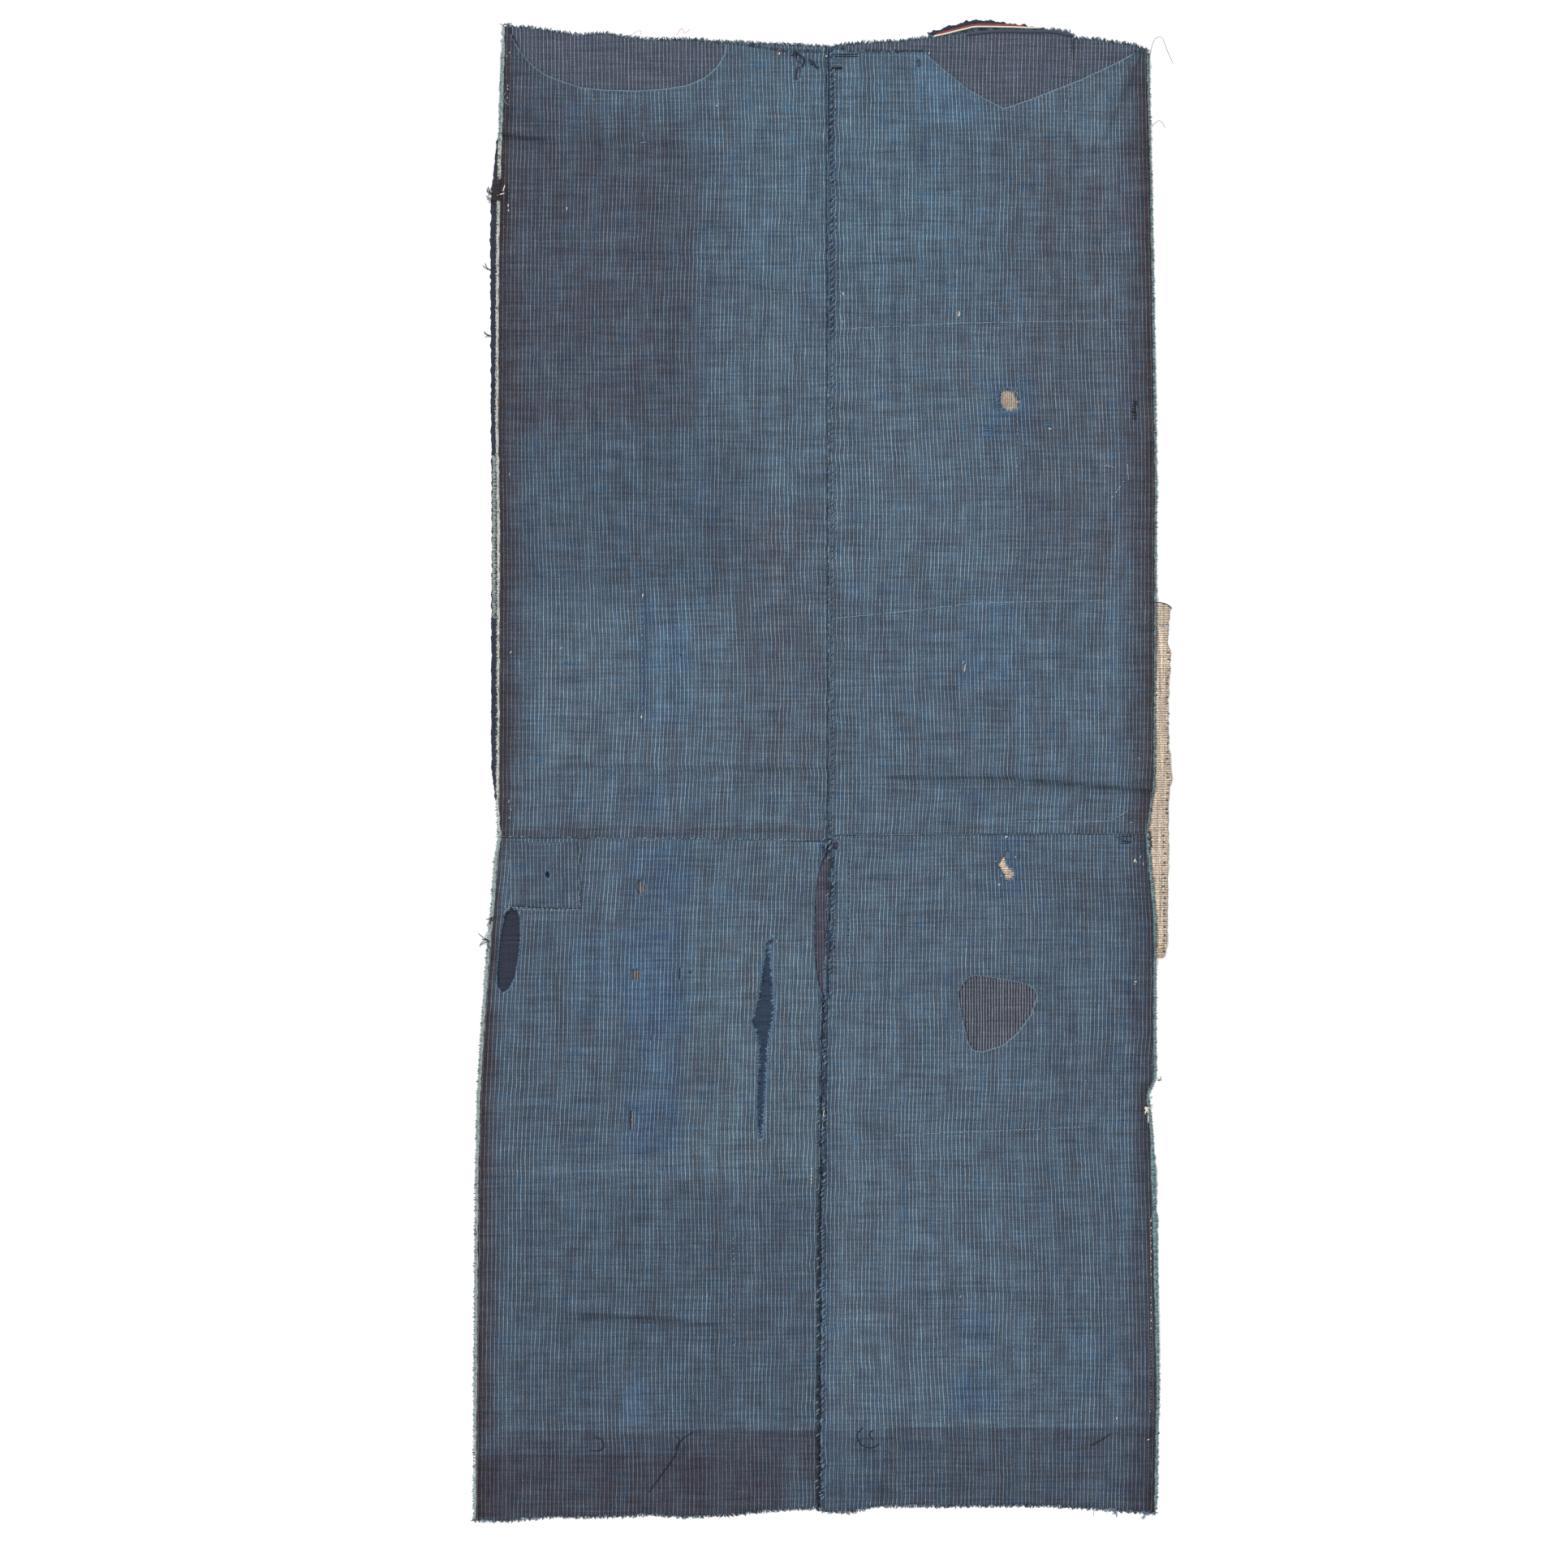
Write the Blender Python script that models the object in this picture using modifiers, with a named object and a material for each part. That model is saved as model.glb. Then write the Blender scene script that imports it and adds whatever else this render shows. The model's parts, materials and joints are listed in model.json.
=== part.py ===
"""Boro patched cloth, lying flat and face up.

Two narrow loom widths are sewn side by side, each in an upper and a lower length. Patches lie behind
the cut-outs, holes and slits of these four panels, and past some of their edges, and one patch lies
on top. The surface that the cloth lies on is z = 0, and +Y runs towards the top edge.
"""
import math

import bmesh
import bpy
from mathutils import Vector

# Every size and place below is in millimetres: x to the right of the middle, y towards the top edge.
MM = 0.001

PANEL_THICK = 1.2
PATCH_THICK = 1.0
CLEARANCE = 0.3
LAYER_STEP = PATCH_THICK + CLEARANCE
PANEL_TOP_ON_PATCH = LAYER_STEP + PANEL_THICK

# How far a panel takes to come down from a patch, and what a patch keeps inside its seat.
SHOULDER = 10.0
SEAT_MARGIN = 2.0

# The panels' net: the widest gap between its lines, and the least one to an optional line.
NET_PITCH = 42.0
NET_LEAST = 9.0
EDGE_LEAST = 5.0

# A fold crease is a low ridge, this far from its crest to its foot, and fades out at its ends.
CREASE_HALF = 12.0
CREASE_FADE = 40.0

# The piece that pokes out at the top is tucked behind the patch in front of it by these depths.
TUCK_LEAST = 5.0
TUCK_MOST = 26.0
TUCK_FROM_X = 101.6
TUCK_FULL_X = 140.0
TUCK_SHOULDER = 5.0

# A place past the cloth's edges, for what reaches an edge or goes beyond it.
OUT = 800.0

# The upright edges. Columns: y, x.
LEFT_EDGE = (
    (-738.0, -344.4),
    (-681.0, -342.8),
    (-601.0, -343.6),
    (-489.0, -342.8),
    (-401.0, -342.0),
    (-321.0, -340.4),
    (-241.0, -335.6),
    (-201.0, -332.4),
    (-161.0, -329.2),
    (-129.0, -326.0),
    (-89.0, -323.6),
    (-67.0, -319.6),
    (-33.0, -321.2),
    (40.0, -320.4),
    (247.0, -320.4),
    (343.0, -322.0),
    (519.0, -321.2),
    (620.0, -319.6),
    (663.0, -318.8),
    (711.0, -316.4),
    (734.0, -315.6),
)
RIGHT_EDGE = (
    (-732.4, 329.2),
    (-681.0, 330.0),
    (-601.0, 331.6),
    (-489.0, 330.8),
    (-401.0, 329.2),
    (-357.0, 325.2),
    (-321.0, 321.2),
    (-305.0, 328.4),
    (-145.0, 328.4),
    (-105.0, 325.2),
    (-63.0, 320.4),
    (-9.0, 327.6),
    (167.0, 328.4),
    (279.0, 329.2),
    (415.0, 327.6),
    (575.0, 324.4),
    (647.0, 321.2),
    (709.2, 321.2),
)
MIDDLE_SEAM = (
    (-727.0, -2.0),
    (-481.0, -1.2),
    (-273.0, 0.4),
    (-134.0, 3.6),
    (-67.6, 6.0),
    (-12.0, 7.6),
    (359.0, 6.8),
    (712.4, 6.4),
)

# The level edges. Columns: x, y.
TOP_EDGE_LEFT = (
    (-315.6, 734.0),
    (-290.8, 731.6),
    (-250.8, 726.0),
    (-202.8, 722.8),
    (-146.8, 720.4),
    (-95.6, 717.2),
    (-50.8, 714.8),
    (6.4, 712.4),
)
TOP_EDGE_RIGHT = (
    (6.4, 712.4),
    (21.2, 707.5),
    (306.8, 707.0),
    (321.2, 709.2),
)
CROSS_SEAM_LEFT = (
    (-319.6, -66.8),
    (-100.0, -69.0),
    (6.0, -70.8),
)
CROSS_SEAM_RIGHT = (
    (6.0, -64.4),
    (320.4, -62.8),
)
BOTTOM_EDGE = (
    (-344.4, -738.0),
    (-310.0, -739.6),
    (-266.0, -735.6),
    (-202.0, -735.6),
    (-167.6, -733.2),
    (-138.8, -735.6),
    (-89.0, -734.0),
    (-43.0, -728.4),
    (-2.0, -726.8),
    (10.8, -732.4),
    (32.0, -731.2),
    (50.8, -725.2),
    (138.8, -725.2),
    (218.8, -724.4),
    (288.0, -729.2),
    (329.2, -733.2),
)

# Where the panels ride up over what lies behind them. Columns: x from, x to, y from, y to.
SEATS = {
    "patch_top": (-OUT, OUT, 615.0, OUT),
    "patch_left_edge": (-OUT, -296.0, -37.0, 626.0),
    "patch_left_navy": (-OUT, -230.0, -235.0, -57.0),
    "patch_brown": (-210.0, -125.0, -363.0, -99.0),
    "patch_tear": (-81.0, -25.0, -388.0, -144.0),
    "patch_seam": (-25.0, 27.0, -235.0, -57.0),
    "patch_round": (119.0, 227.0, -293.0, -190.0),
    "patch_tan_edge": (159.0, OUT, -190.0, 165.0),
    "patch_tan_hole": (149.0, 223.0, 309.0, 409.0),
}

# Fold creases across the panels. Columns: y, x from, x to, rise of the crest.
CREASES = (
    (503.0, 30.0, 300.0, 1.0),
    (0.0, -240.0, -4.0, 1.0),
    (-12.0, 60.0, 324.0, 1.4),
    (-514.0, 60.0, 260.0, 1.0),
    (-538.0, -234.0, -100.0, 1.0),
)

# The top edge of the patch behind the V. Columns: x, y.
V_PATCH_TOP = (
    (11.6, 713.2),
    (37.2, 716.4),
    (77.2, 718.0),
    (103.6, 721.2),
    (149.2, 728.0),
    (173.2, 729.6),
    (229.2, 729.2),
    (242.8, 726.8),
    (246.8, 722.8),
    (248.4, 720.8),
    (269.2, 719.8),
    (305.2, 714.6),
    (319.6, 709.2),
)
TOP_PATCH_FOOT = 618.0
V_PATCH_MID_ROW = 664.0

# Outlines that show past an edge of the panels, in order round each piece. Columns: x, y.
NAVY_CREST = (
    (103.6, 726.8),
    (121.2, 732.4),
    (151.6, 739.6),
    (169.2, 738.0),
    (189.2, 734.8),
    (221.2, 730.6),
)
HALF_MOON_PATCH = (
    (-311.6, 732.2),
    (-290.0, 731.3),
    (-262.0, 727.4),
    (-240.0, 723.8),
    (-214.0, 725.6),
    (-190.0, 721.4),
    (-170.0, 719.4),
    (-130.0, 719.8),
    (-96.0, 717.0),
    (-40.0, 708.0),
    (2.0, 707.0),
    (3.0, TOP_PATCH_FOOT),
    (-150.0, TOP_PATCH_FOOT + 1.5),
    (-312.0, TOP_PATCH_FOOT + 0.6),
)
LEFT_STRIP = (
    (-320.6, 622.6),
    (-322.4, 606.0),
    (-324.2, 590.0),
    (-326.6, 566.0),
    (-327.6, 518.8),
    (-326.0, 198.8),
    (-326.8, 38.8),
    (-326.0, -1.2),
    (-322.8, -30.8),
    (-299.5, -31.6),
    (-298.6, 300.0),
    (-299.8, 616.4),
    (-313.4, 616.8),
    (-316.0, 622.0),
)
LEFT_NAVY = (
    (-316.6, -60.0),
    (-320.5, -100.0),
    (-326.0, -168.0),
    (-331.0, -232.0),
    (-280.0, -231.4),
    (-233.0, -232.6),
    (-232.4, -150.0),
    (-233.2, -59.4),
)
TAN_EDGE = (
    (161.4, 162.0),
    (250.0, 160.6),
    (329.2, 162.0),
    (338.0, 164.2),
    (343.4, 161.4),
    (341.6, 150.0),
    (340.0, 126.0),
    (343.2, 118.0),
    (342.0, 94.8),
    (340.4, 62.8),
    (341.2, 22.8),
    (344.4, -7.6),
    (341.2, -21.2),
    (341.0, -81.2),
    (339.6, -173.2),
    (336.4, -185.2),
    (250.0, -187.4),
    (161.8, -186.6),
)
CORNER_PATCH = (
    (-308.8, -71.0),
    (-274.8, -72.0),
    (-241.2, -71.4),
    (-239.0, -89.0),
    (-239.8, -113.0),
    (-238.2, -136.6),
    (-274.8, -136.0),
    (-308.0, -134.6),
)

# What is cut or worn away from each panel, and the points of its outline (x, y).
CUTS = {
    "half_moon": ("panel_upper_left", (
        (-312.0, 745.0),
        (-307.0, 724.4),
        (-302.0, 714.8),
        (-294.0, 703.6),
        (-283.6, 692.6),
        (-270.8, 683.6),
        (-238.8, 672.6),
        (-215.6, 670.0),
        (-183.6, 669.2),
        (-156.4, 670.8),
        (-133.2, 674.6),
        (-114.8, 682.8),
        (-103.6, 693.2),
        (-96.4, 706.0),
        (-95.2, 717.2),
        (-93.0, 745.0),
    )),
    "v_neck": ("panel_upper_right", (
        (97.0, 712.0),
        (105.4, 702.8),
        (118.8, 690.8),
        (144.2, 670.2),
        (160.4, 661.2),
        (178.9, 651.8),
        (202.8, 660.0),
        (253.2, 679.6),
        (290.4, 697.1),
        (306.7, 706.1),
        (313.0, 712.0),
        (205.0, 740.0),
    )),
    "worn_hole": ("panel_upper_right", (
        (175.6, 373.0),
        (181.0, 375.0),
        (186.8, 374.0),
        (194.0, 363.6),
        (193.0, 357.0),
        (187.6, 353.8),
        (180.6, 353.8),
        (176.0, 358.0),
        (174.4, 365.2),
    )),
    "oval_hole": ("panel_lower_left", (
        (-307.6, -135.6),
        (-301.6, -137.2),
        (-298.4, -145.2),
        (-297.8, -161.2),
        (-298.8, -177.2),
        (-303.2, -203.2),
        (-308.4, -214.8),
        (-314.8, -219.6),
        (-319.8, -214.0),
        (-320.2, -199.2),
        (-317.6, -169.2),
        (-315.4, -155.6),
        (-311.8, -140.0),
    )),
    "long_tear": ("panel_lower_left", (
        (-53.4, -168.0),
        (-51.2, -193.2),
        (-49.2, -226.0),
        (-48.4, -242.8),
        (-50.8, -250.8),
        (-54.2, -272.0),
        (-57.2, -321.2),
        (-60.4, -364.0),
        (-62.8, -356.0),
        (-64.2, -330.0),
        (-62.6, -289.2),
        (-62.4, -265.2),
        (-69.4, -246.8),
        (-65.2, -235.6),
        (-60.4, -213.2),
        (-57.2, -189.2),
        (-54.6, -168.6),
    )),
    "seam_slit": ("panel_lower_left", (
        (14.0, -84.0),
        (2.6, -83.0),
        (-2.8, -95.6),
        (-6.8, -121.2),
        (-8.4, -161.2),
        (-6.8, -193.2),
        (-3.6, -212.4),
        (-0.4, -220.4),
        (14.0, -222.0),
    )),
    "upper_slit": ("panel_lower_left", (
        (-182.0, -109.2),
        (-178.0, -108.4),
        (-174.8, -116.4),
        (-175.8, -122.4),
        (-180.2, -123.0),
        (-182.8, -117.2),
    )),
    "middle_slit": ("panel_lower_left", (
        (-188.4, -198.0),
        (-183.6, -196.4),
        (-178.8, -199.6),
        (-178.2, -205.0),
        (-183.6, -207.6),
        (-188.4, -206.0),
    )),
    "lower_slit": ("panel_lower_left", (
        (-189.8, -335.6),
        (-186.2, -336.4),
        (-186.0, -356.2),
        (-189.6, -355.6),
    )),
    "ragged_hole": ("panel_lower_right", (
        (183.6, -78.0),
        (182.2, -85.0),
        (179.8, -89.0),
        (181.4, -94.0),
        (186.6, -98.0),
        (189.2, -102.6),
        (186.6, -107.0),
        (182.2, -110.0),
        (178.8, -105.0),
        (176.4, -98.8),
        (171.8, -94.0),
        (172.6, -90.6),
        (177.0, -87.4),
    )),
    "round_hole": ("panel_lower_right", (
        (134.0, -219.0),
        (140.4, -208.4),
        (146.0, -204.2),
        (153.2, -203.0),
        (186.8, -208.4),
        (201.2, -211.6),
        (208.4, -216.2),
        (211.0, -223.0),
        (205.2, -241.2),
        (191.6, -259.6),
        (177.2, -271.6),
        (158.0, -277.4),
        (149.2, -276.4),
        (143.8, -268.6),
        (136.4, -237.2),
    )),
}
CUTTER_LOW = -5.0
CUTTER_HIGH = 15.0

# How far each point of a hand-cut edge falls short of the straight line, in turn.
HAND_CUT = (0.2, 0.9, 0.4, 1.3, 0.6, 1.0, 0.3, 0.8)

# Cloth colours, linear.
FADED_INDIGO = (0.085, 0.120, 0.165)
DARK_INDIGO = (0.088, 0.103, 0.148)
PLAIN_NAVY = (0.040, 0.047, 0.070)
PLAIN_BLUE = (0.038, 0.060, 0.098)
GREY_STRIPE = (0.100, 0.110, 0.145)
TAN = (0.520, 0.430, 0.340)
BROWN = (0.160, 0.110, 0.095)
CLOTH_ROUGHNESS = 0.9


def across(table, along):
    """Where an edge lies at a place along it, read between the rows of its table."""
    for (start, first), (end, last) in zip(table, table[1:]):
        if along <= end:
            break
    share = (along - start) / (end - start)
    return first + (last - first) * min(max(share, 0.0), 1.0)


def moved(table, shift):
    """An edge's table, moved across the edge."""
    return tuple((along, place + shift) for along, place in table)


def ramp(value, low, high, fade):
    """One from low to high, falling to nothing over the fade on both sides."""
    inside = min(value - (low - fade), (high + fade) - value) / fade
    return min(max(inside, 0.0), 1.0)


def underside(x, y):
    """How high a panel's underside lies: over the patches, and along the fold creases."""
    height = 0.0
    for x_low, x_high, y_low, y_high in SEATS.values():
        seat = ramp(x, x_low, x_high, SHOULDER) * ramp(y, y_low, y_high, SHOULDER)
        height = max(height, seat * LAYER_STEP)
    for crest_y, x_low, x_high, rise in CREASES:
        slope = max(1.0 - abs(y - crest_y) / CREASE_HALF, 0.0)
        height += rise * slope * ramp(x, x_low, x_high, CREASE_FADE)
    return height


def net_lines(low, high, needed, wanted):
    """Lines of a panel's net: those it needs, those it wants that fit, and others to fill the gaps."""
    lines = sorted({line for line in needed if low + EDGE_LEAST <= line <= high - EDGE_LEAST})
    for line in wanted:
        nearest = min(abs(line - other) for other in (low, *lines, high))
        if low < line < high and nearest >= NET_LEAST:
            lines.append(line)
    lines = sorted((low, *lines, high))
    filled = []
    for start, end in zip(lines, lines[1:]):
        steps = math.ceil((end - start) / NET_PITCH)
        filled += [start + (end - start) * step / steps for step in range(steps)]
    return [*filled, high]


def seat_lines(first, last, low, high, other_low, other_high):
    """The net lines that the seats need, one way, for a panel that spans low to high."""
    lines = []
    for seat in SEATS.values():
        reach_low = seat[first] - SHOULDER
        reach_high = seat[last] + SHOULDER
        other = (first + 2) % 4
        meets = reach_low < high and reach_high > low
        meets_other = seat[other] - SHOULDER < other_high and seat[other + 1] + SHOULDER > other_low
        if meets and meets_other:
            lines += [reach_low, seat[first], seat[last], reach_high]
    return lines


def cloth_material(name, colour):
    """A plain woven cloth's finish."""
    material = bpy.data.materials.new(name)
    material.use_nodes = True
    shader = material.node_tree.nodes["Principled BSDF"]
    shader.inputs["Base Color"].default_value = (*colour, 1.0)
    shader.inputs["Roughness"].default_value = CLOTH_ROUGHNESS
    shader.inputs["Metallic"].default_value = 0.0
    return material


def netted_sheet(name, columns, rows, place, thickness, colour, collection):
    """A sheet of cloth: a grid with each vertex put in its place, made thick upwards."""
    sheet = bmesh.new()
    column_steps = len(columns) - 1
    row_steps = len(rows) - 1
    bmesh.ops.create_grid(sheet, x_segments=column_steps, y_segments=row_steps, size=1.0)
    for vertex in sheet.verts:
        column = round((vertex.co.x + 1.0) / 2.0 * column_steps)
        row = round((vertex.co.y + 1.0) / 2.0 * row_steps)
        vertex.co = Vector(place(column, row)) * MM
    mesh = bpy.data.meshes.new(name)
    sheet.to_mesh(mesh)
    sheet.free()
    mesh.materials.append(cloth_material(name, colour))
    piece = bpy.data.objects.new(name, mesh)
    collection.objects.link(piece)
    solidify = piece.modifiers.new("Thickness", "SOLIDIFY")
    solidify.thickness = thickness * MM
    solidify.offset = 1.0
    return piece


def panel(name, left, right, bottom, top, collection):
    """One length of loom width, inside its four edges and lying over what is behind it."""
    x_low = max(x for y, x in left)
    x_high = min(x for y, x in right)
    y_low = max(y for x, y in bottom)
    y_high = min(y for x, y in top)
    side_rows = [y for y, x in (*left, *right)]
    crease_rows = []
    for crest_y, crease_low, crease_high, rise in CREASES:
        if crease_low < x_high and crease_high > x_low:
            crease_rows += [crest_y - CREASE_HALF, crest_y, crest_y + CREASE_HALF]
    seam_rows = [y for y, x in MIDDLE_SEAM]
    seam_columns = [x for x, y in (*CROSS_SEAM_LEFT, *CROSS_SEAM_RIGHT)]
    seat_columns = seat_lines(0, 1, x_low, x_high, y_low, y_high)
    seat_rows = seat_lines(2, 3, y_low, y_high, x_low, x_high)
    edge_columns = [x for x, y in (*bottom, *top)]
    columns = net_lines(x_low, x_high, [*seam_columns, *seat_columns], edge_columns)
    rows = net_lines(y_low, y_high, [*seam_rows, *seat_rows, *crease_rows], side_rows)

    def place(column, row):
        x = columns[column]
        y = rows[row]
        if row == 0:
            y = across(bottom, x)
        if row == len(rows) - 1:
            y = across(top, x)
        if column == 0:
            x = across(left, y)
        if column == len(columns) - 1:
            x = across(right, y)
        return x, y, underside(x, y)

    return netted_sheet(name, columns, rows, place, PANEL_THICK, FADED_INDIGO, collection)


def side_of(table, low, high):
    """The rows of an upright edge's table that belong to one panel."""
    inside = [(y, x) for y, x in table if low < y < high]
    return ((low, across(table, low)), *inside, (high, across(table, high)))


def make_panels(collection):
    """The four panels, a seam's clearance apart, by name."""
    half_gap = CLEARANCE / 2
    seam_y = -67.0
    low = -740.0
    high = 734.0
    upper_left = (side_of(LEFT_EDGE, seam_y, high), moved(side_of(MIDDLE_SEAM, seam_y, high), -half_gap))
    upper_right = (moved(side_of(MIDDLE_SEAM, seam_y, high), half_gap), side_of(RIGHT_EDGE, seam_y, high))
    lower_left = (side_of(LEFT_EDGE, low, seam_y), moved(side_of(MIDDLE_SEAM, low, seam_y), -half_gap))
    lower_right = (moved(side_of(MIDDLE_SEAM, low, seam_y), half_gap), side_of(RIGHT_EDGE, low, seam_y))
    over_left = moved(CROSS_SEAM_LEFT, half_gap)
    over_right = moved(CROSS_SEAM_RIGHT, half_gap)
    under_left = moved(CROSS_SEAM_LEFT, -half_gap)
    under_right = moved(CROSS_SEAM_RIGHT, -half_gap)
    return {
        "panel_upper_left": panel("panel_upper_left", *upper_left, over_left, TOP_EDGE_LEFT, collection),
        "panel_upper_right": panel("panel_upper_right", *upper_right, over_right, TOP_EDGE_RIGHT, collection),
        "panel_lower_left": panel("panel_lower_left", *lower_left, BOTTOM_EDGE, under_left, collection),
        "panel_lower_right": panel("panel_lower_right", *lower_right, BOTTOM_EDGE, under_right, collection),
    }


def outlined(name, points, low, high, collection):
    """A flat piece with the given outline, from the height low to the height high."""
    curve = bpy.data.curves.new(name, "CURVE")
    curve.dimensions = "2D"
    curve.fill_mode = "BOTH"
    curve.extrude = (high - low) / 2 * MM
    spline = curve.splines.new("POLY")
    spline.points.add(len(points) - 1)
    for point, (x, y) in zip(spline.points, points):
        point.co = (x * MM, y * MM, 0.0, 1.0)
    spline.use_cyclic_u = True
    piece = bpy.data.objects.new(name, curve)
    piece.location.z = (low + high) / 2 * MM
    collection.objects.link(piece)
    return piece


def flat_patch(name, points, low, colour, collection):
    """A patch that lies flat at one height."""
    patch = outlined(name, points, low, low + PATCH_THICK, collection)
    patch.data.materials.append(cloth_material(name, colour))
    return patch


def hand_cut(x_low, x_high, y_low, y_high):
    """A four-sided piece cut by hand: inside its bounds, with edges that wander a little."""
    x_low += SEAT_MARGIN
    x_high -= SEAT_MARGIN
    y_low += SEAT_MARGIN
    y_high -= SEAT_MARGIN
    x_mid = (x_low + x_high) / 2
    y_mid = (y_low + y_high) / 2
    straight = (
        (x_low, y_low), (x_mid, y_low), (x_high, y_low), (x_high, y_mid),
        (x_high, y_high), (x_mid, y_high), (x_low, y_high), (x_low, y_mid),
    )
    points = []
    for (x, y), short in zip(straight, HAND_CUT):
        inward_x = math.copysign(short, x_mid - x) if x != x_mid else 0.0
        inward_y = math.copysign(short, y_mid - y) if y != y_mid else 0.0
        points.append((x + inward_x, y + inward_y))
    return points


def tuck_depth(x):
    """How far the piece at the top edge goes down behind the patch in front of it."""
    share = (x - TUCK_FROM_X) / (TUCK_FULL_X - TUCK_FROM_X)
    return TUCK_LEAST + (TUCK_MOST - TUCK_LEAST) * min(max(share, 0.0), 1.0)


def make_v_patch(collection):
    """The patch behind the V, which lies over the piece that pokes out above it."""
    raised_low = NAVY_CREST[0][0] - SEAT_MARGIN
    raised_high = NAVY_CREST[-1][0] + SEAT_MARGIN
    fade = (raised_low - SHOULDER, raised_high + SHOULDER)
    x_low = V_PATCH_TOP[0][0]
    x_high = V_PATCH_TOP[-1][0]
    needed = [raised_low, TUCK_FULL_X, raised_high, *fade, *(x for x, y in V_PATCH_TOP if x > raised_high)]
    columns = net_lines(x_low, x_high, needed, [x for x, y in V_PATCH_TOP])
    rows = ("foot", "middle", "shoulder", "tuck", "top")

    def place(column, row):
        x = columns[column]
        edge = across(V_PATCH_TOP, x)
        heights = {
            "foot": TOP_PATCH_FOOT,
            "middle": V_PATCH_MID_ROW,
            "shoulder": edge - tuck_depth(x) - TUCK_SHOULDER,
            "tuck": edge - tuck_depth(x),
            "top": edge,
        }
        lift = 0.0
        if rows[row] in ("tuck", "top"):
            lift = LAYER_STEP * ramp(x, raised_low, raised_high, SHOULDER)
        return x, heights[rows[row]], lift

    return netted_sheet("patch_top_right", columns, rows, place, PATCH_THICK, DARK_INDIGO, collection)


def make_navy_crest(collection):
    """The plain piece that pokes out above the top edge, with its hidden tuck."""
    short = 2.0
    tucked = []
    for x in (219.0, 180.0, 140.0, 122.0, 106.0):
        tucked.append((x, across(V_PATCH_TOP, x) - tuck_depth(x) + short))
    return flat_patch("patch_top_edge", (*NAVY_CREST, *tucked), 0.0, PLAIN_NAVY, collection)


def make_patches(collection):
    """Every patch behind the panels, and the one on top."""
    make_v_patch(collection)
    make_navy_crest(collection)
    flat_patch("patch_top_left", HALF_MOON_PATCH, 0.0, DARK_INDIGO, collection)
    flat_patch("patch_left_edge", LEFT_STRIP, 0.0, PLAIN_NAVY, collection)
    flat_patch("patch_left_navy", LEFT_NAVY, 0.0, PLAIN_NAVY, collection)
    flat_patch("patch_tan_edge", TAN_EDGE, 0.0, TAN, collection)
    hidden = {
        "patch_brown": BROWN,
        "patch_tear": PLAIN_BLUE,
        "patch_seam": GREY_STRIPE,
        "patch_round": GREY_STRIPE,
        "patch_tan_hole": TAN,
    }
    for name, colour in hidden.items():
        flat_patch(name, hand_cut(*SEATS[name]), 0.0, colour, collection)
    corner_low = PANEL_TOP_ON_PATCH + CLEARANCE
    flat_patch("patch_corner", CORNER_PATCH, corner_low, FADED_INDIGO, collection)


def mesh_of(curve_object, collection):
    """A closed mesh in place of a curve, which then can cut."""
    bpy.context.view_layer.update()
    solved = curve_object.evaluated_get(bpy.context.evaluated_depsgraph_get())
    mesh = bpy.data.meshes.new_from_object(solved)
    welded = bmesh.new()
    welded.from_mesh(mesh)
    bmesh.ops.remove_doubles(welded, verts=welded.verts, dist=0.001 * MM)
    bmesh.ops.recalc_face_normals(welded, faces=welded.faces)
    welded.to_mesh(mesh)
    welded.free()
    name = curve_object.name
    matrix = curve_object.matrix_world.copy()
    bpy.data.objects.remove(curve_object)
    piece = bpy.data.objects.new(name, mesh)
    piece.matrix_world = matrix
    collection.objects.link(piece)
    return piece


def cut_panels(panels, collection):
    """Cut each panel's holes, slits and neck lines through it."""
    for name, (panel_name, points) in CUTS.items():
        outline = outlined(name, points, CUTTER_LOW, CUTTER_HIGH, collection)
        cutter = mesh_of(outline, collection)
        cutter.hide_render = True
        cutter.display_type = "WIRE"
        cut = panels[panel_name].modifiers.new(name, "BOOLEAN")
        cut.operation = "DIFFERENCE"
        cut.solver = "EXACT"
        cut.object = cutter


def main():
    for leftover in list(bpy.data.objects):
        bpy.data.objects.remove(leftover)
    cloth = bpy.data.collections.new("boro_patched_cloth")
    cutters = bpy.data.collections.new("hole_cutters")
    bpy.context.scene.collection.children.link(cloth)
    bpy.context.scene.collection.children.link(cutters)
    panels = make_panels(cloth)
    make_patches(cloth)
    cut_panels(panels, cutters)


main()
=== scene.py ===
"""The finished look of a boro patched cloth that lies flat and face up.

Each length and patch is a thin sheet cut to its solid's outline, with worn rims, puckers and fold
creases. Its stripes, weave and fading are worked out from where a point lies in the cloth, and so is
the painted shade along its creases and seams. The sewing, the frays and the loose threads are thin
tubes laid on the sheets.
"""

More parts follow.
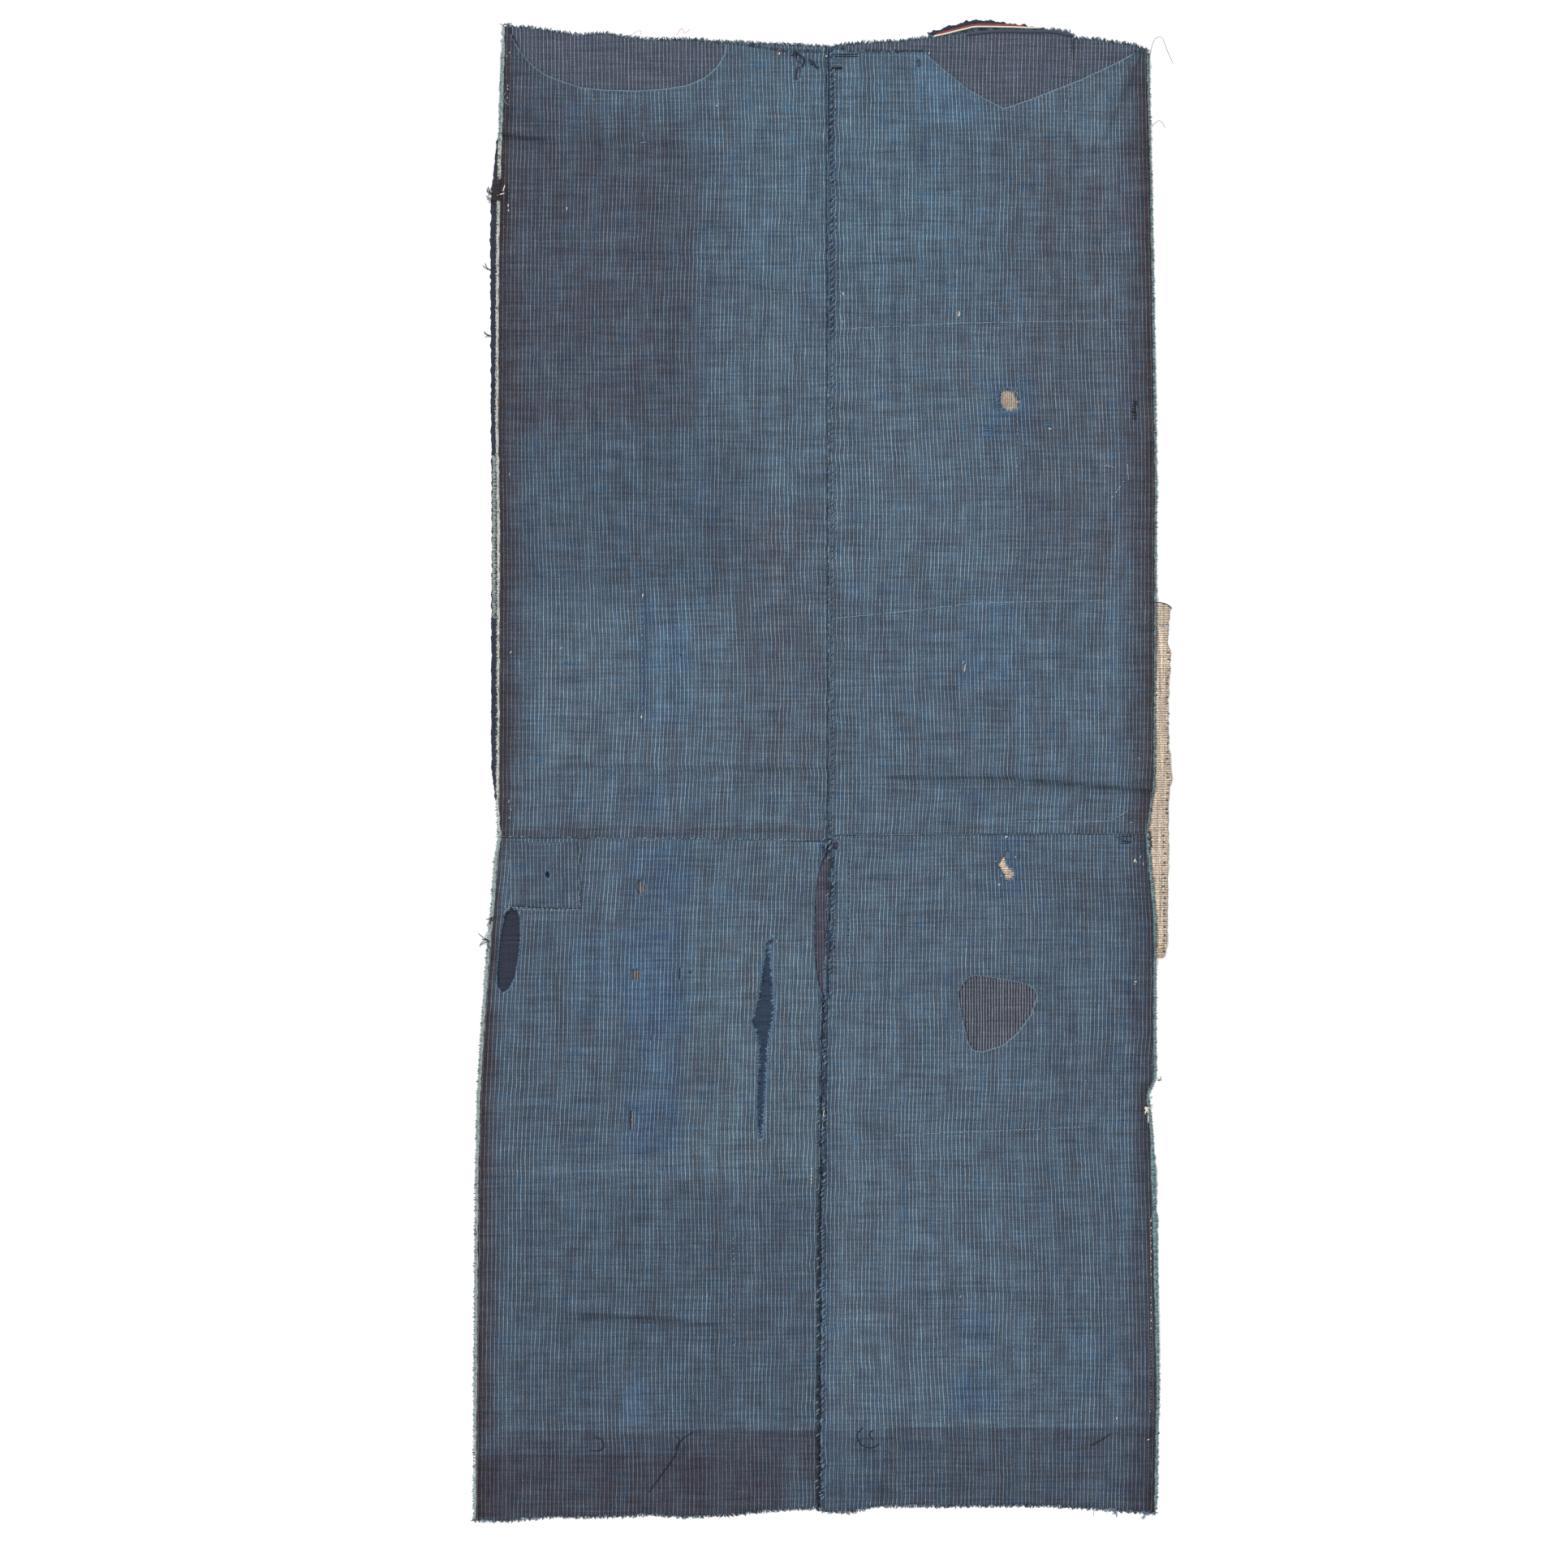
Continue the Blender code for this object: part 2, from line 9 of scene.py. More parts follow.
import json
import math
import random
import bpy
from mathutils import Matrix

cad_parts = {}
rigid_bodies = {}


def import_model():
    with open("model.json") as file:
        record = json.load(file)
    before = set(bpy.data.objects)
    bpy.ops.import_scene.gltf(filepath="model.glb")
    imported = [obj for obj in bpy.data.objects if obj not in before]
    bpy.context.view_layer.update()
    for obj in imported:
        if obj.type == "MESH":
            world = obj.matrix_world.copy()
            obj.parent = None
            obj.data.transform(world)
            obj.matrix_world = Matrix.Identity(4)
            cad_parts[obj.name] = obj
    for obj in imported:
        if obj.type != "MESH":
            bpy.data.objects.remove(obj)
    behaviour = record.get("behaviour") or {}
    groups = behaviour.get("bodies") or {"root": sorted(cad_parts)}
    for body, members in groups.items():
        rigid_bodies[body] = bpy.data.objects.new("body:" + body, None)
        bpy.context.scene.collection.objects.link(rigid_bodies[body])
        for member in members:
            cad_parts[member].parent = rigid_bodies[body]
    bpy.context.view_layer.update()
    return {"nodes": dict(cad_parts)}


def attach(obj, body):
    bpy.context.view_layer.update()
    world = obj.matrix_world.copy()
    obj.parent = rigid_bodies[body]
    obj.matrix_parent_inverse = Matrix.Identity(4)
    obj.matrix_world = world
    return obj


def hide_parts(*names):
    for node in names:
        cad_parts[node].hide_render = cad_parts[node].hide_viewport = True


bl_info = {
    "name": "Boro patched cloth",
    "version": (1, 0, 0),
    "blender": (4, 5, 0),
    "location": "3D View > Sidebar > Boro cloth",
    "description": "Weaves, patches, sews and wears a striped indigo cloth, and lights it",
    "category": "Object",
}

import bpy
import numpy as np
from mathutils import Vector, geometry, kdtree, noise
from mathutils.bvhtree import BVHTree

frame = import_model()

# Places and sizes below are millimetres, x to the right of the middle and y towards the top edge.
MM = 0.001

# The lines that the loom widths run between. Columns: y, x.
LEFT_EDGE = (
    (-738.0, -344.4),
    (-601.0, -343.6),
    (-401.0, -342.0),
    (-321.0, -340.4),
    (-241.0, -335.6),
    (-161.0, -329.2),
    (-129.0, -326.0),
    (-89.0, -323.6),
    (-67.0, -319.6),
    (-33.0, -321.2),
    (247.0, -320.4),
    (343.0, -322.0),
    (519.0, -321.2),
    (734.0, -315.6),
)
MIDDLE_SEAM = (
    (-727.0, -2.0),
    (-481.0, -1.2),
    (-273.0, 0.4),
    (-134.0, 3.6),
    (-67.6, 6.0),
    (-12.0, 7.6),
    (712.4, 6.4),
)
RIGHT_EDGE = (
    (-732.4, 329.2),
    (-601.0, 331.6),
    (-357.0, 325.2),
    (-321.0, 321.2),
    (-305.0, 328.4),
    (-145.0, 328.4),
    (-63.0, 320.4),
    (-9.0, 327.6),
    (279.0, 329.2),
    (575.0, 324.4),
    (709.2, 321.2),
)
# Columns: x, y.
CROSS_SEAM = (
    (-319.6, -66.8),
    (-100.0, -69.0),
    (6.0, -70.8),
    (6.1, -64.4),
    (320.4, -62.8),
)

PANELS = ("panel_upper_left", "panel_upper_right", "panel_lower_left", "panel_lower_right")
PANEL_THICK = 1.2
PATCH_THICK = 1.0

# Rims of the cut and worn places, by the box they lie in.
# Columns: x from, x to, y from, y to, width of the worn rim, raggedness, frays a centimetre, and
# whether it is frayed, and not turned under.
RIMS = (
    (-308.0, -94.5, 668.0, 716.5, 1.4, 0.15, 0.3, 0.0),
    (104.0, 307.0, 650.0, 706.0, 1.4, 0.15, 0.3, 0.0),
    (170.0, 198.0, 350.0, 378.0, 3.0, 1.4, 9.0, 1.0),
    (-322.0, -296.0, -222.0, -133.0, 1.6, 0.3, 2.0, 1.0),
    (-72.0, -46.0, -366.0, -164.0, 3.4, 1.0, 10.0, 1.0),
    (-10.0, 2.6, -223.0, -82.0, 1.8, 0.9, 3.0, 0.6),
    (-192.0, -172.0, -125.0, -107.0, 2.2, 0.3, 3.0, 1.0),
    (-192.0, -172.0, -210.0, -195.0, 2.2, 0.3, 3.0, 1.0),
    (-192.0, -172.0, -358.0, -334.0, 1.6, 0.2, 1.0, 1.0),
    (170.0, 190.6, -111.5, -76.0, 1.8, 1.0, 8.0, 1.0),
    (132.0, 212.0, -279.0, -201.0, 0.9, 0.2, 0.4, 0.0),
)

# Small worn-through places. Columns: piece, x, y, half width, half height, lean in degrees.
SMALL_HOLES = (
    ("panel_upper_left", -24.0, 686.0, 2.6, 6.6, -12.0),
    ("panel_upper_left", -23.4, 701.0, 2.4, 5.6, 24.0),
    ("panel_upper_left", -9.0, 694.0, 0.9, 3.4, 55.0),
    ("panel_upper_right", 95.0, 696.0, 1.8, 3.8, 10.0),
    ("panel_lower_left", -140.6, -201.0, 0.8, 5.8, 0.0),
    ("panel_lower_left", -130.4, -199.6, 0.9, 1.4, 0.0),
    ("panel_lower_left", -168.0, -264.0, 0.7, 2.4, 0.0),
    ("panel_lower_left", -270.6, -103.4, 1.9, 3.0, 10.0),
    ("patch_corner", -270.6, -103.4, 2.1, 3.2, 10.0),
    ("panel_lower_right", 13.0, -75.0, 2.6, 3.6, -20.0),
)
SMALL_HOLE_RIM = 2.2

# How far the rows of points lie in from a worn rim and from a plain edge, how clear of a worn rim
# the even net starts, and the height of the net's rows over its spacing
RIM_ROWS = (0.8, 1.7, 3.0)
EDGE_ROWS = (0.9,)
RIM_CLEAR = 4.2
ROW_SHARE = 0.87

# What a point away from every worn rim counts as, and one away from every seam and selvedge
NO_RIM = 9.0
FAR = 90.0

# Spacing of the net in the patches, and the numbers that start their noise
PATCH_SPACING = 5.0
CORNER_SPACING = 2.5
PATCH_SEED = 20.0
CORNER_SEED = 9.0

# The raw edges at the head and the foot
RAW_CENTRE = -5.0
RAW_REACH = 705.0
RAW_HEAD = 700.0
RAW_FOOT = -722.0
EDGE_WANDER = 1.2

# Width of the loom widths in the cloth's own places, before they were sewn and worn
LEFT_WIDTH = 326.0
RIGHT_WIDTH = 321.0

# Fold creases. Columns: x from, y from, x to, y to, rise, dark of the line from 0 to 1, which is
# painted shade along the fold, and a value below 0 paints a highlight instead.
CREASES = (
    (74.0, -8.0, 180.0, -8.0, 1.2, 0.55),
    (180.0, -8.0, 324.0, -21.0, 1.3, 0.65),
    (-240.0, 4.0, -4.0, 1.0, 0.8, 0.35),
    (34.0, 498.0, 90.0, 503.0, 0.6, 0.36),
    (96.0, 505.0, 150.0, 500.0, 0.5, 0.30),
    (165.0, 510.0, 300.0, 508.0, 0.6, 0.22),
    (-110.0, 489.0, -20.0, 466.0, 0.5, 0.25),
    (-66.0, 346.0, 0.0, 262.0, 0.4, 0.20),
    (-230.0, 512.0, -80.0, 503.0, 0.5, 0.20),
    (310.0, 696.0, 281.0, 628.0, 0.5, 0.50),
    (-234.0, -538.0, -172.0, -541.0, 0.7, 0.60),
    (-168.0, -541.0, -110.0, -546.0, 0.6, 0.45),
    (97.0, -514.0, 190.0, -514.0, 0.7, 0.35),
    (-317.0, 624.0, -280.0, 621.0, 0.5, 0.75),
    (-280.0, 621.0, -170.0, 618.0, 0.3, 0.25),
    (249.0, -246.0, 254.0, -288.0, 0.6, 0.3),
    (-328.0, -396.0, -111.0, -396.0, 0.3, -0.5),
)
CREASE_WIDTH = 3.0
CREASE_END = 14.0

# Dyes of the faded lengths. Colours are linear, as the cloth shows them.
GREY_PURPLE = (0.055, 0.067, 0.093)
DIM_BLUE = (0.057, 0.081, 0.114)
MID_BLUE = (0.061, 0.087, 0.122)
GREYED = (0.069, 0.088, 0.119)
LIGHT_BLUE = (0.078, 0.111, 0.150)
TEAL = (0.072, 0.112, 0.155)
GREEN_GREY = (0.076, 0.109, 0.143)
SOFT_BLUE = (0.066, 0.112, 0.172)
DEEP_BLUE = (0.040, 0.075, 0.135)
BORDER = (0.050, 0.054, 0.072)
MOTTLED_BLUE = (0.050, 0.088, 0.150)
SEAM_BROWN = (0.055, 0.061, 0.082)
SEAM_BLUE = (0.034, 0.062, 0.116)
CORNER_PURPLE = (0.053, 0.065, 0.090)
PALE_TEAL = (0.074, 0.122, 0.178)
RIGHT_BORDER = (0.047, 0.058, 0.084)
FOOT_STRIP = (0.050, 0.071, 0.102)
FOOT_BAND = (0.049, 0.062, 0.088)
CORNER_DYE = (0.062, 0.086, 0.121)
ROLL_COLOUR = (0.040, 0.052, 0.080)

# Where the dye differs from the length's own.
# Columns: x from, x to, y from, y to, fade of its border, strength, colour.
ZONES = (
    (-320.0, -120.0, 320.0, 640.0, 60.0, 0.9, GREY_PURPLE),
    (-330.0, -230.0, 540.0, 730.0, 40.0, 0.8, CORNER_PURPLE),
    (-320.0, -60.0, 170.0, 330.0, 50.0, 0.9, DIM_BLUE),
    (-280.0, -85.0, 0.0, 160.0, 40.0, 0.8, LIGHT_BLUE),
    (-85.0, 4.0, -10.0, 260.0, 40.0, 0.8, GREYED),
    (-90.0, 8.0, 480.0, 705.0, 40.0, 0.8, TEAL),
    (-90.0, -8.0, 290.0, 470.0, 40.0, 0.3, GREEN_GREY),
    (8.0, 130.0, 470.0, 700.0, 50.0, 0.9, TEAL),
    (90.0, 160.0, 640.0, 712.0, 22.0, 0.9, PALE_TEAL),
    (190.0, 330.0, 180.0, 640.0, 50.0, 0.85, GREYED),
    (8.0, 180.0, 180.0, 430.0, 40.0, 0.6, LIGHT_BLUE),
    (-180.0, -128.0, 40.0, 170.0, 12.0, 0.5, SOFT_BLUE),
    (-180.0, -172.0, 60.0, 176.0, 5.0, 0.55, DEEP_BLUE),
    (-150.0, -134.0, 96.0, 124.0, 7.0, 0.5, DEEP_BLUE),
    (132.0, 148.0, 86.0, 112.0, 8.0, 0.5, DEEP_BLUE),
    (156.0, 172.0, 326.0, 342.0, 6.0, 0.5, DEEP_BLUE),
    (140.0, 190.0, 78.0, 168.0, 12.0, 0.5, SOFT_BLUE),
    (-310.0, -200.0, -400.0, -150.0, 40.0, 0.8, MID_BLUE),
    (-250.0, -90.0, -240.0, -160.0, 18.0, 0.45, SOFT_BLUE),
    (-197.0, -144.0, -378.0, -326.0, 12.0, 0.45, DEEP_BLUE),
    (-251.0, -235.0, 627.0, 656.0, 6.0, 0.3, DEEP_BLUE),
    (-160.0, -128.0, -130.0, -60.0, 10.0, 0.3, DEEP_BLUE),
    (-180.0, -130.0, -260.0, -215.0, 14.0, 0.35, DEEP_BLUE),
    (-131.0, -2.0, -400.0, -160.0, 30.0, 0.8, GREEN_GREY),
    (-330.0, -2.0, -655.0, -410.0, 50.0, 0.95, DIM_BLUE),
    (8.0, 70.0, -600.0, -400.0, 20.0, 0.4, LIGHT_BLUE),
    (200.0, 330.0, -640.0, -70.0, 50.0, 0.7, MID_BLUE),
    (-195.0, -140.0, -345.0, -75.0, 16.0, 0.40, MOTTLED_BLUE),
    (-182.0, -158.0, -44.0, -14.0, 10.0, 0.40, DEEP_BLUE),
    (140.0, 164.0, -48.0, -22.0, 10.0, 0.40, DEEP_BLUE),
    (94.0, 104.0, 597.0, 617.0, 8.0, 0.40, DEEP_BLUE),
    (66.0, 76.0, 445.0, 465.0, 8.0, 0.40, DEEP_BLUE),
    (166.0, 196.0, -124.0, -62.0, 10.0, 0.40, DEEP_BLUE),
    (160.0, 210.0, 326.0, 386.0, 12.0, 0.30, DEEP_BLUE),
    (134.0, 168.0, -566.0, -534.0, 10.0, 0.40, DEEP_BLUE),
    (128.0, 178.0, -634.0, -598.0, 12.0, 0.40, DEEP_BLUE),
    (243.0, 278.0, -610.0, -554.0, 14.0, 0.40, SOFT_BLUE),
    (-200.0, -172.0, -642.0, -602.0, 10.0, 0.50, SOFT_BLUE),
    (215.0, 300.0, 622.0, 690.0, 26.0, 0.60, LIGHT_BLUE),
    (10.0, 50.0, -640.0, -100.0, 16.0, 0.40, LIGHT_BLUE),
    (-345.0, -298.0, -66.0, 720.0, 26.0, 0.9, BORDER),
    (-345.0, -321.0, -740.0, -66.0, 16.0, 0.95, BORDER),
    (300.0, 335.0, -60.0, 700.0, 20.0, 0.75, BORDER),
    (304.0, 335.0, -740.0, -60.0, 14.0, 0.75, RIGHT_BORDER),
    (-318.0, 5.0, -66.5, -55.5, 4.0, 0.6, SEAM_BROWN),
    (5.0, 12.0, 430.0, 714.0, 4.0, 0.5, SEAM_BLUE),
    (-4.0, 6.0, -724.0, -72.0, 5.0, 0.35, SEAM_BLUE),
    (-345.0, -110.0, -740.0, -676.0, 8.0, 0.6, BORDER),
    (-136.0, -2.0, -740.0, -652.0, 6.0, 0.35, BORDER),
    (-136.0, -44.0, -740.0, -676.0, 8.0, 0.35, BORDER),
    (1.0, 57.0, -745.0, -652.0, 8.0, 0.75, FOOT_STRIP),
    (-345.0, -133.0, -678.0, -651.0, 4.0, 1.0, FOOT_BAND),
    (-40.0, -3.0, -740.0, -702.0, 20.0, 0.6, TEAL),
)

# The upper border of the cloth's foot, which has kept its dark dye. It dips below the cloth right
# of the middle seam, where the foot is light. Columns: x, y.
DARK_FOOT = (
    (-142.0, -675.0),
    (-130.0, -651.0),
    (-2.0, -651.0),
    (4.0, -745.0),
    (52.0, -745.0),
    (62.0, -648.0),
)

# Colours of the threads
PALE_THREAD = (0.30, 0.38, 0.44)
BLUE_THREAD = (0.10, 0.16, 0.24)
NAVY_THREAD = (0.012, 0.016, 0.030)
BLACK_THREAD = (0.006, 0.007, 0.012)
CREAM_THREAD = (0.72, 0.66, 0.54)
TAN_THREAD = (0.42, 0.30, 0.20)
DULL_TAN_THREAD = (0.20, 0.16, 0.15)
NOTCH_THREAD = (0.045, 0.045, 0.050)
RED_THREAD = (0.42, 0.06, 0.05)
TEAL_THREAD = (0.030, 0.075, 0.090)
PURPLE_THREAD = (0.020, 0.014, 0.022)
GOLD_THREAD = (0.30, 0.24, 0.13)
GREEN_THREAD = (0.34, 0.46, 0.40)
RIM_THREAD = (0.20, 0.28, 0.34)
DEEP_THREAD = (0.016, 0.030, 0.066)
GATHER_COLOUR = (0.080, 0.130, 0.185)
# Pale lumps of thread. At the upper seam they are teal lumps of the gathered cloth. Beside the lower
# seam's dark dashes they paint the highlights on its gathers.
LUMP_AND_HIGHLIGHT_COLOUR = (0.115, 0.165, 0.195)
FRAY_BLUE = (0.065, 0.140, 0.240)
PALE_LOOP = (0.26, 0.31, 0.30)
CREAM_LOOP = (0.42, 0.43, 0.38)
TEAL_LOOP = (0.20, 0.31, 0.33)
CHALK_THREAD = (0.34, 0.31, 0.28)

# Lines of small stitches, where a backing is sewn on.
# Columns: the stitches' pitch and length, their colour, and the points of the line.
STITCH_LINES = (
    (2.5, 2.3, RIM_THREAD, ((12.0, 434.0), (136.0, 440.0), (299.0, 443.0))),
    (2.5, 2.3, RIM_THREAD, ((11.0, 149.0), (81.0, 156.0), (150.0, 164.0), (276.0, 167.0))),
    (4.0, 2.2, RIM_THREAD, ((192.0, 392.0), (192.0, 208.0))),
    (1.9, 1.8, RIM_THREAD, ((192.0, -51.0), (283.0, -51.0), (300.0, -41.0))),
    (3.2, 2.2, RIM_THREAD, ((72.0, -360.0), (256.0, -352.0))),
    (6.0, 1.4, RIM_THREAD, ((209.0, -457.0), (209.0, -617.0))),
    (3.2, 2.4, DULL_TAN_THREAD, ((188.0, -468.0), (188.0, -583.0))),
    (12.6, 2.6, PALE_THREAD, ((6.2, 383.0), (6.2, 60.0))),
    (7.0, 2.4, RIM_THREAD, ((13.4, 560.0), (13.2, 210.0))),
    (3.0, 1.8, PALE_THREAD, ((279.0, 300.0), (290.0, 297.0))),
    (3.0, 2.4, PALE_THREAD, ((285.0, 268.0), (297.0, 284.0))),
    (2.6, 2.2, PALE_THREAD, ((300.6, 301.0), (301.2, 288.0))),
    (3.4, 2.6, CREAM_THREAD, ((-11.0, -392.0), (-11.0, -406.0))),
    (5.2, 1.8, BLACK_THREAD, ((-306.0, -134.6), (-274.0, -136.0), (-240.0, -136.6))),
    (4.2, 1.6, PALE_THREAD, ((-314.0, -135.2), (-282.0, -136.8), (-242.0, -137.2))),
    (2.6, 2.4, BLUE_THREAD, ((249.0, -258.0), (253.0, -290.0), (262.0, -312.0), (266.0, -330.0))),
    (3.0, 1.8, BLACK_THREAD, ((9.6, 692.0), (17.6, 692.0))),
    (2.0, 2.8, GATHER_COLOUR, ((8.0, -64.2), (30.0, -63.6))),
    (3.6, 1.6, BLACK_THREAD, ((10.2, 687.0), (10.6, 627.0))),
    (5.4, 1.2, PALE_THREAD, ((12.4, 686.0), (12.6, 630.0))),
    (2.2, 1.4, BLACK_THREAD, ((288.0, -65.0), (300.0, -71.0))),
    (3.4, 2.0, DULL_TAN_THREAD, ((323.6, -441.0), (323.4, -633.0))),
    (7.6, 1.8, CREAM_THREAD, ((323.8, -443.0), (323.6, -560.0))),
    (3.8, 1.6, CREAM_THREAD, ((332.0, 137.0), (341.0, 140.0))),
    (2.6, 1.8, RIM_THREAD, ((-238.6, -72.0), (-239.0, -132.0))),
    (2.6, 2.2, RIM_THREAD, ((-312.0, -136.6), (-282.0, -138.0), (-242.0, -138.6))),
    (6.0, 2.0, RIM_THREAD, ((-177.6, 170.0), (-177.6, 60.0))),
    (3.6, 2.0, RIM_THREAD, ((244.0, 718.0), (244.0, 655.0))),
    (5.0, 1.6, RIM_THREAD, ((-88.0, -461.0), (-87.0, -624.0))),
    (5.2, 1.4, BLACK_THREAD, ((11.0, -90.0), (12.0, -220.0))),
    (5.6, 1.4, BLACK_THREAD, ((26.0, -90.0), (25.0, -200.0))),
)

# Stitches at each step along the middle seam.
# Columns: from, to, thickness over the thread's, colour, chance, whether it thins out lower down.
UPPER_STITCHES = (
    ((-1.6, -0.8), (2.6, 2.2), 1.6, DEEP_THREAD, 0.9, False),
    ((-0.6, 3.0), (3.6, 5.2), 2.1, GATHER_COLOUR, 0.9, True),
    ((2.0, -1.0), (5.4, 2.6), 1.5, LUMP_AND_HIGHLIGHT_COLOUR, 0.7, True),
)
# Below the cross seam, the pale lump stitches are painted highlights on the gathers beside the dark
# dashes.
LOWER_STITCHES = (
    ((-0.4, -3.2), (-0.8, 3.4), 2.7, DEEP_THREAD, 0.6, False),
    ((-3.0, -0.8), (2.6, 2.4), 1.8, DEEP_THREAD, 0.5, False),
    ((0.8, 0.2), (4.0, 3.8), 3.2, GATHER_COLOUR, 0.6, False),
    ((0.6, -2.4), (5.0, -0.8), 1.8, FRAY_BLUE, 0.35, False),
    ((-4.6, 0.2), (-1.2, 3.0), 1.8, LUMP_AND_HIGHLIGHT_COLOUR, 0.4, False),
)
FOOT_STITCHES = (
    ((-0.4, -3.2), (-0.8, 3.4), 2.7, BLACK_THREAD, 0.6, False),
    *LOWER_STITCHES[1:],
)
# One loop of thread over the cross seam's left half. Columns: x, y.
SEAM_LOOP = ((-2.6, 0.0), (-1.4, 0.9), (0.0, 1.3), (1.4, 0.9), (2.6, 0.0))
STRONG_ABOVE = 430.0
THIN_SHARE = 0.55
BLACK_BELOW = -400.0
# The stretch where the cloth beside the seam is slit, and its stitches lie further right
SLIT_FROM = -222.0
SLIT_TO = -84.0

# Steps between the stitches along the middle seam, and along the left and the right cross seam
MIDDLE_STEP = 6.4
LOOP_STEP = 5.8
CROSS_STEP = 2.6
# The turned-in cloth that fills the seams, as a cord: its steps, height and radius
FILLING_STEP = 8.0
FILLING_HEIGHT = 0.9
FILLING_RADIUS = 0.5

# Rims that are sewn down to their backing.
# Columns: x from, x to, y from, y to, the stitches' pitch and length, and how far in they lie.
SEWN_RIMS = (
    (-308.0, -94.5, 668.0, 720.0, 2.7, 1.5, 0.7),
    (98.0, 309.0, 650.0, 712.0, 2.7, 1.5, 0.7),
    (132.0, 212.0, -279.0, -201.0, 2.3, 1.2, 0.9),
)

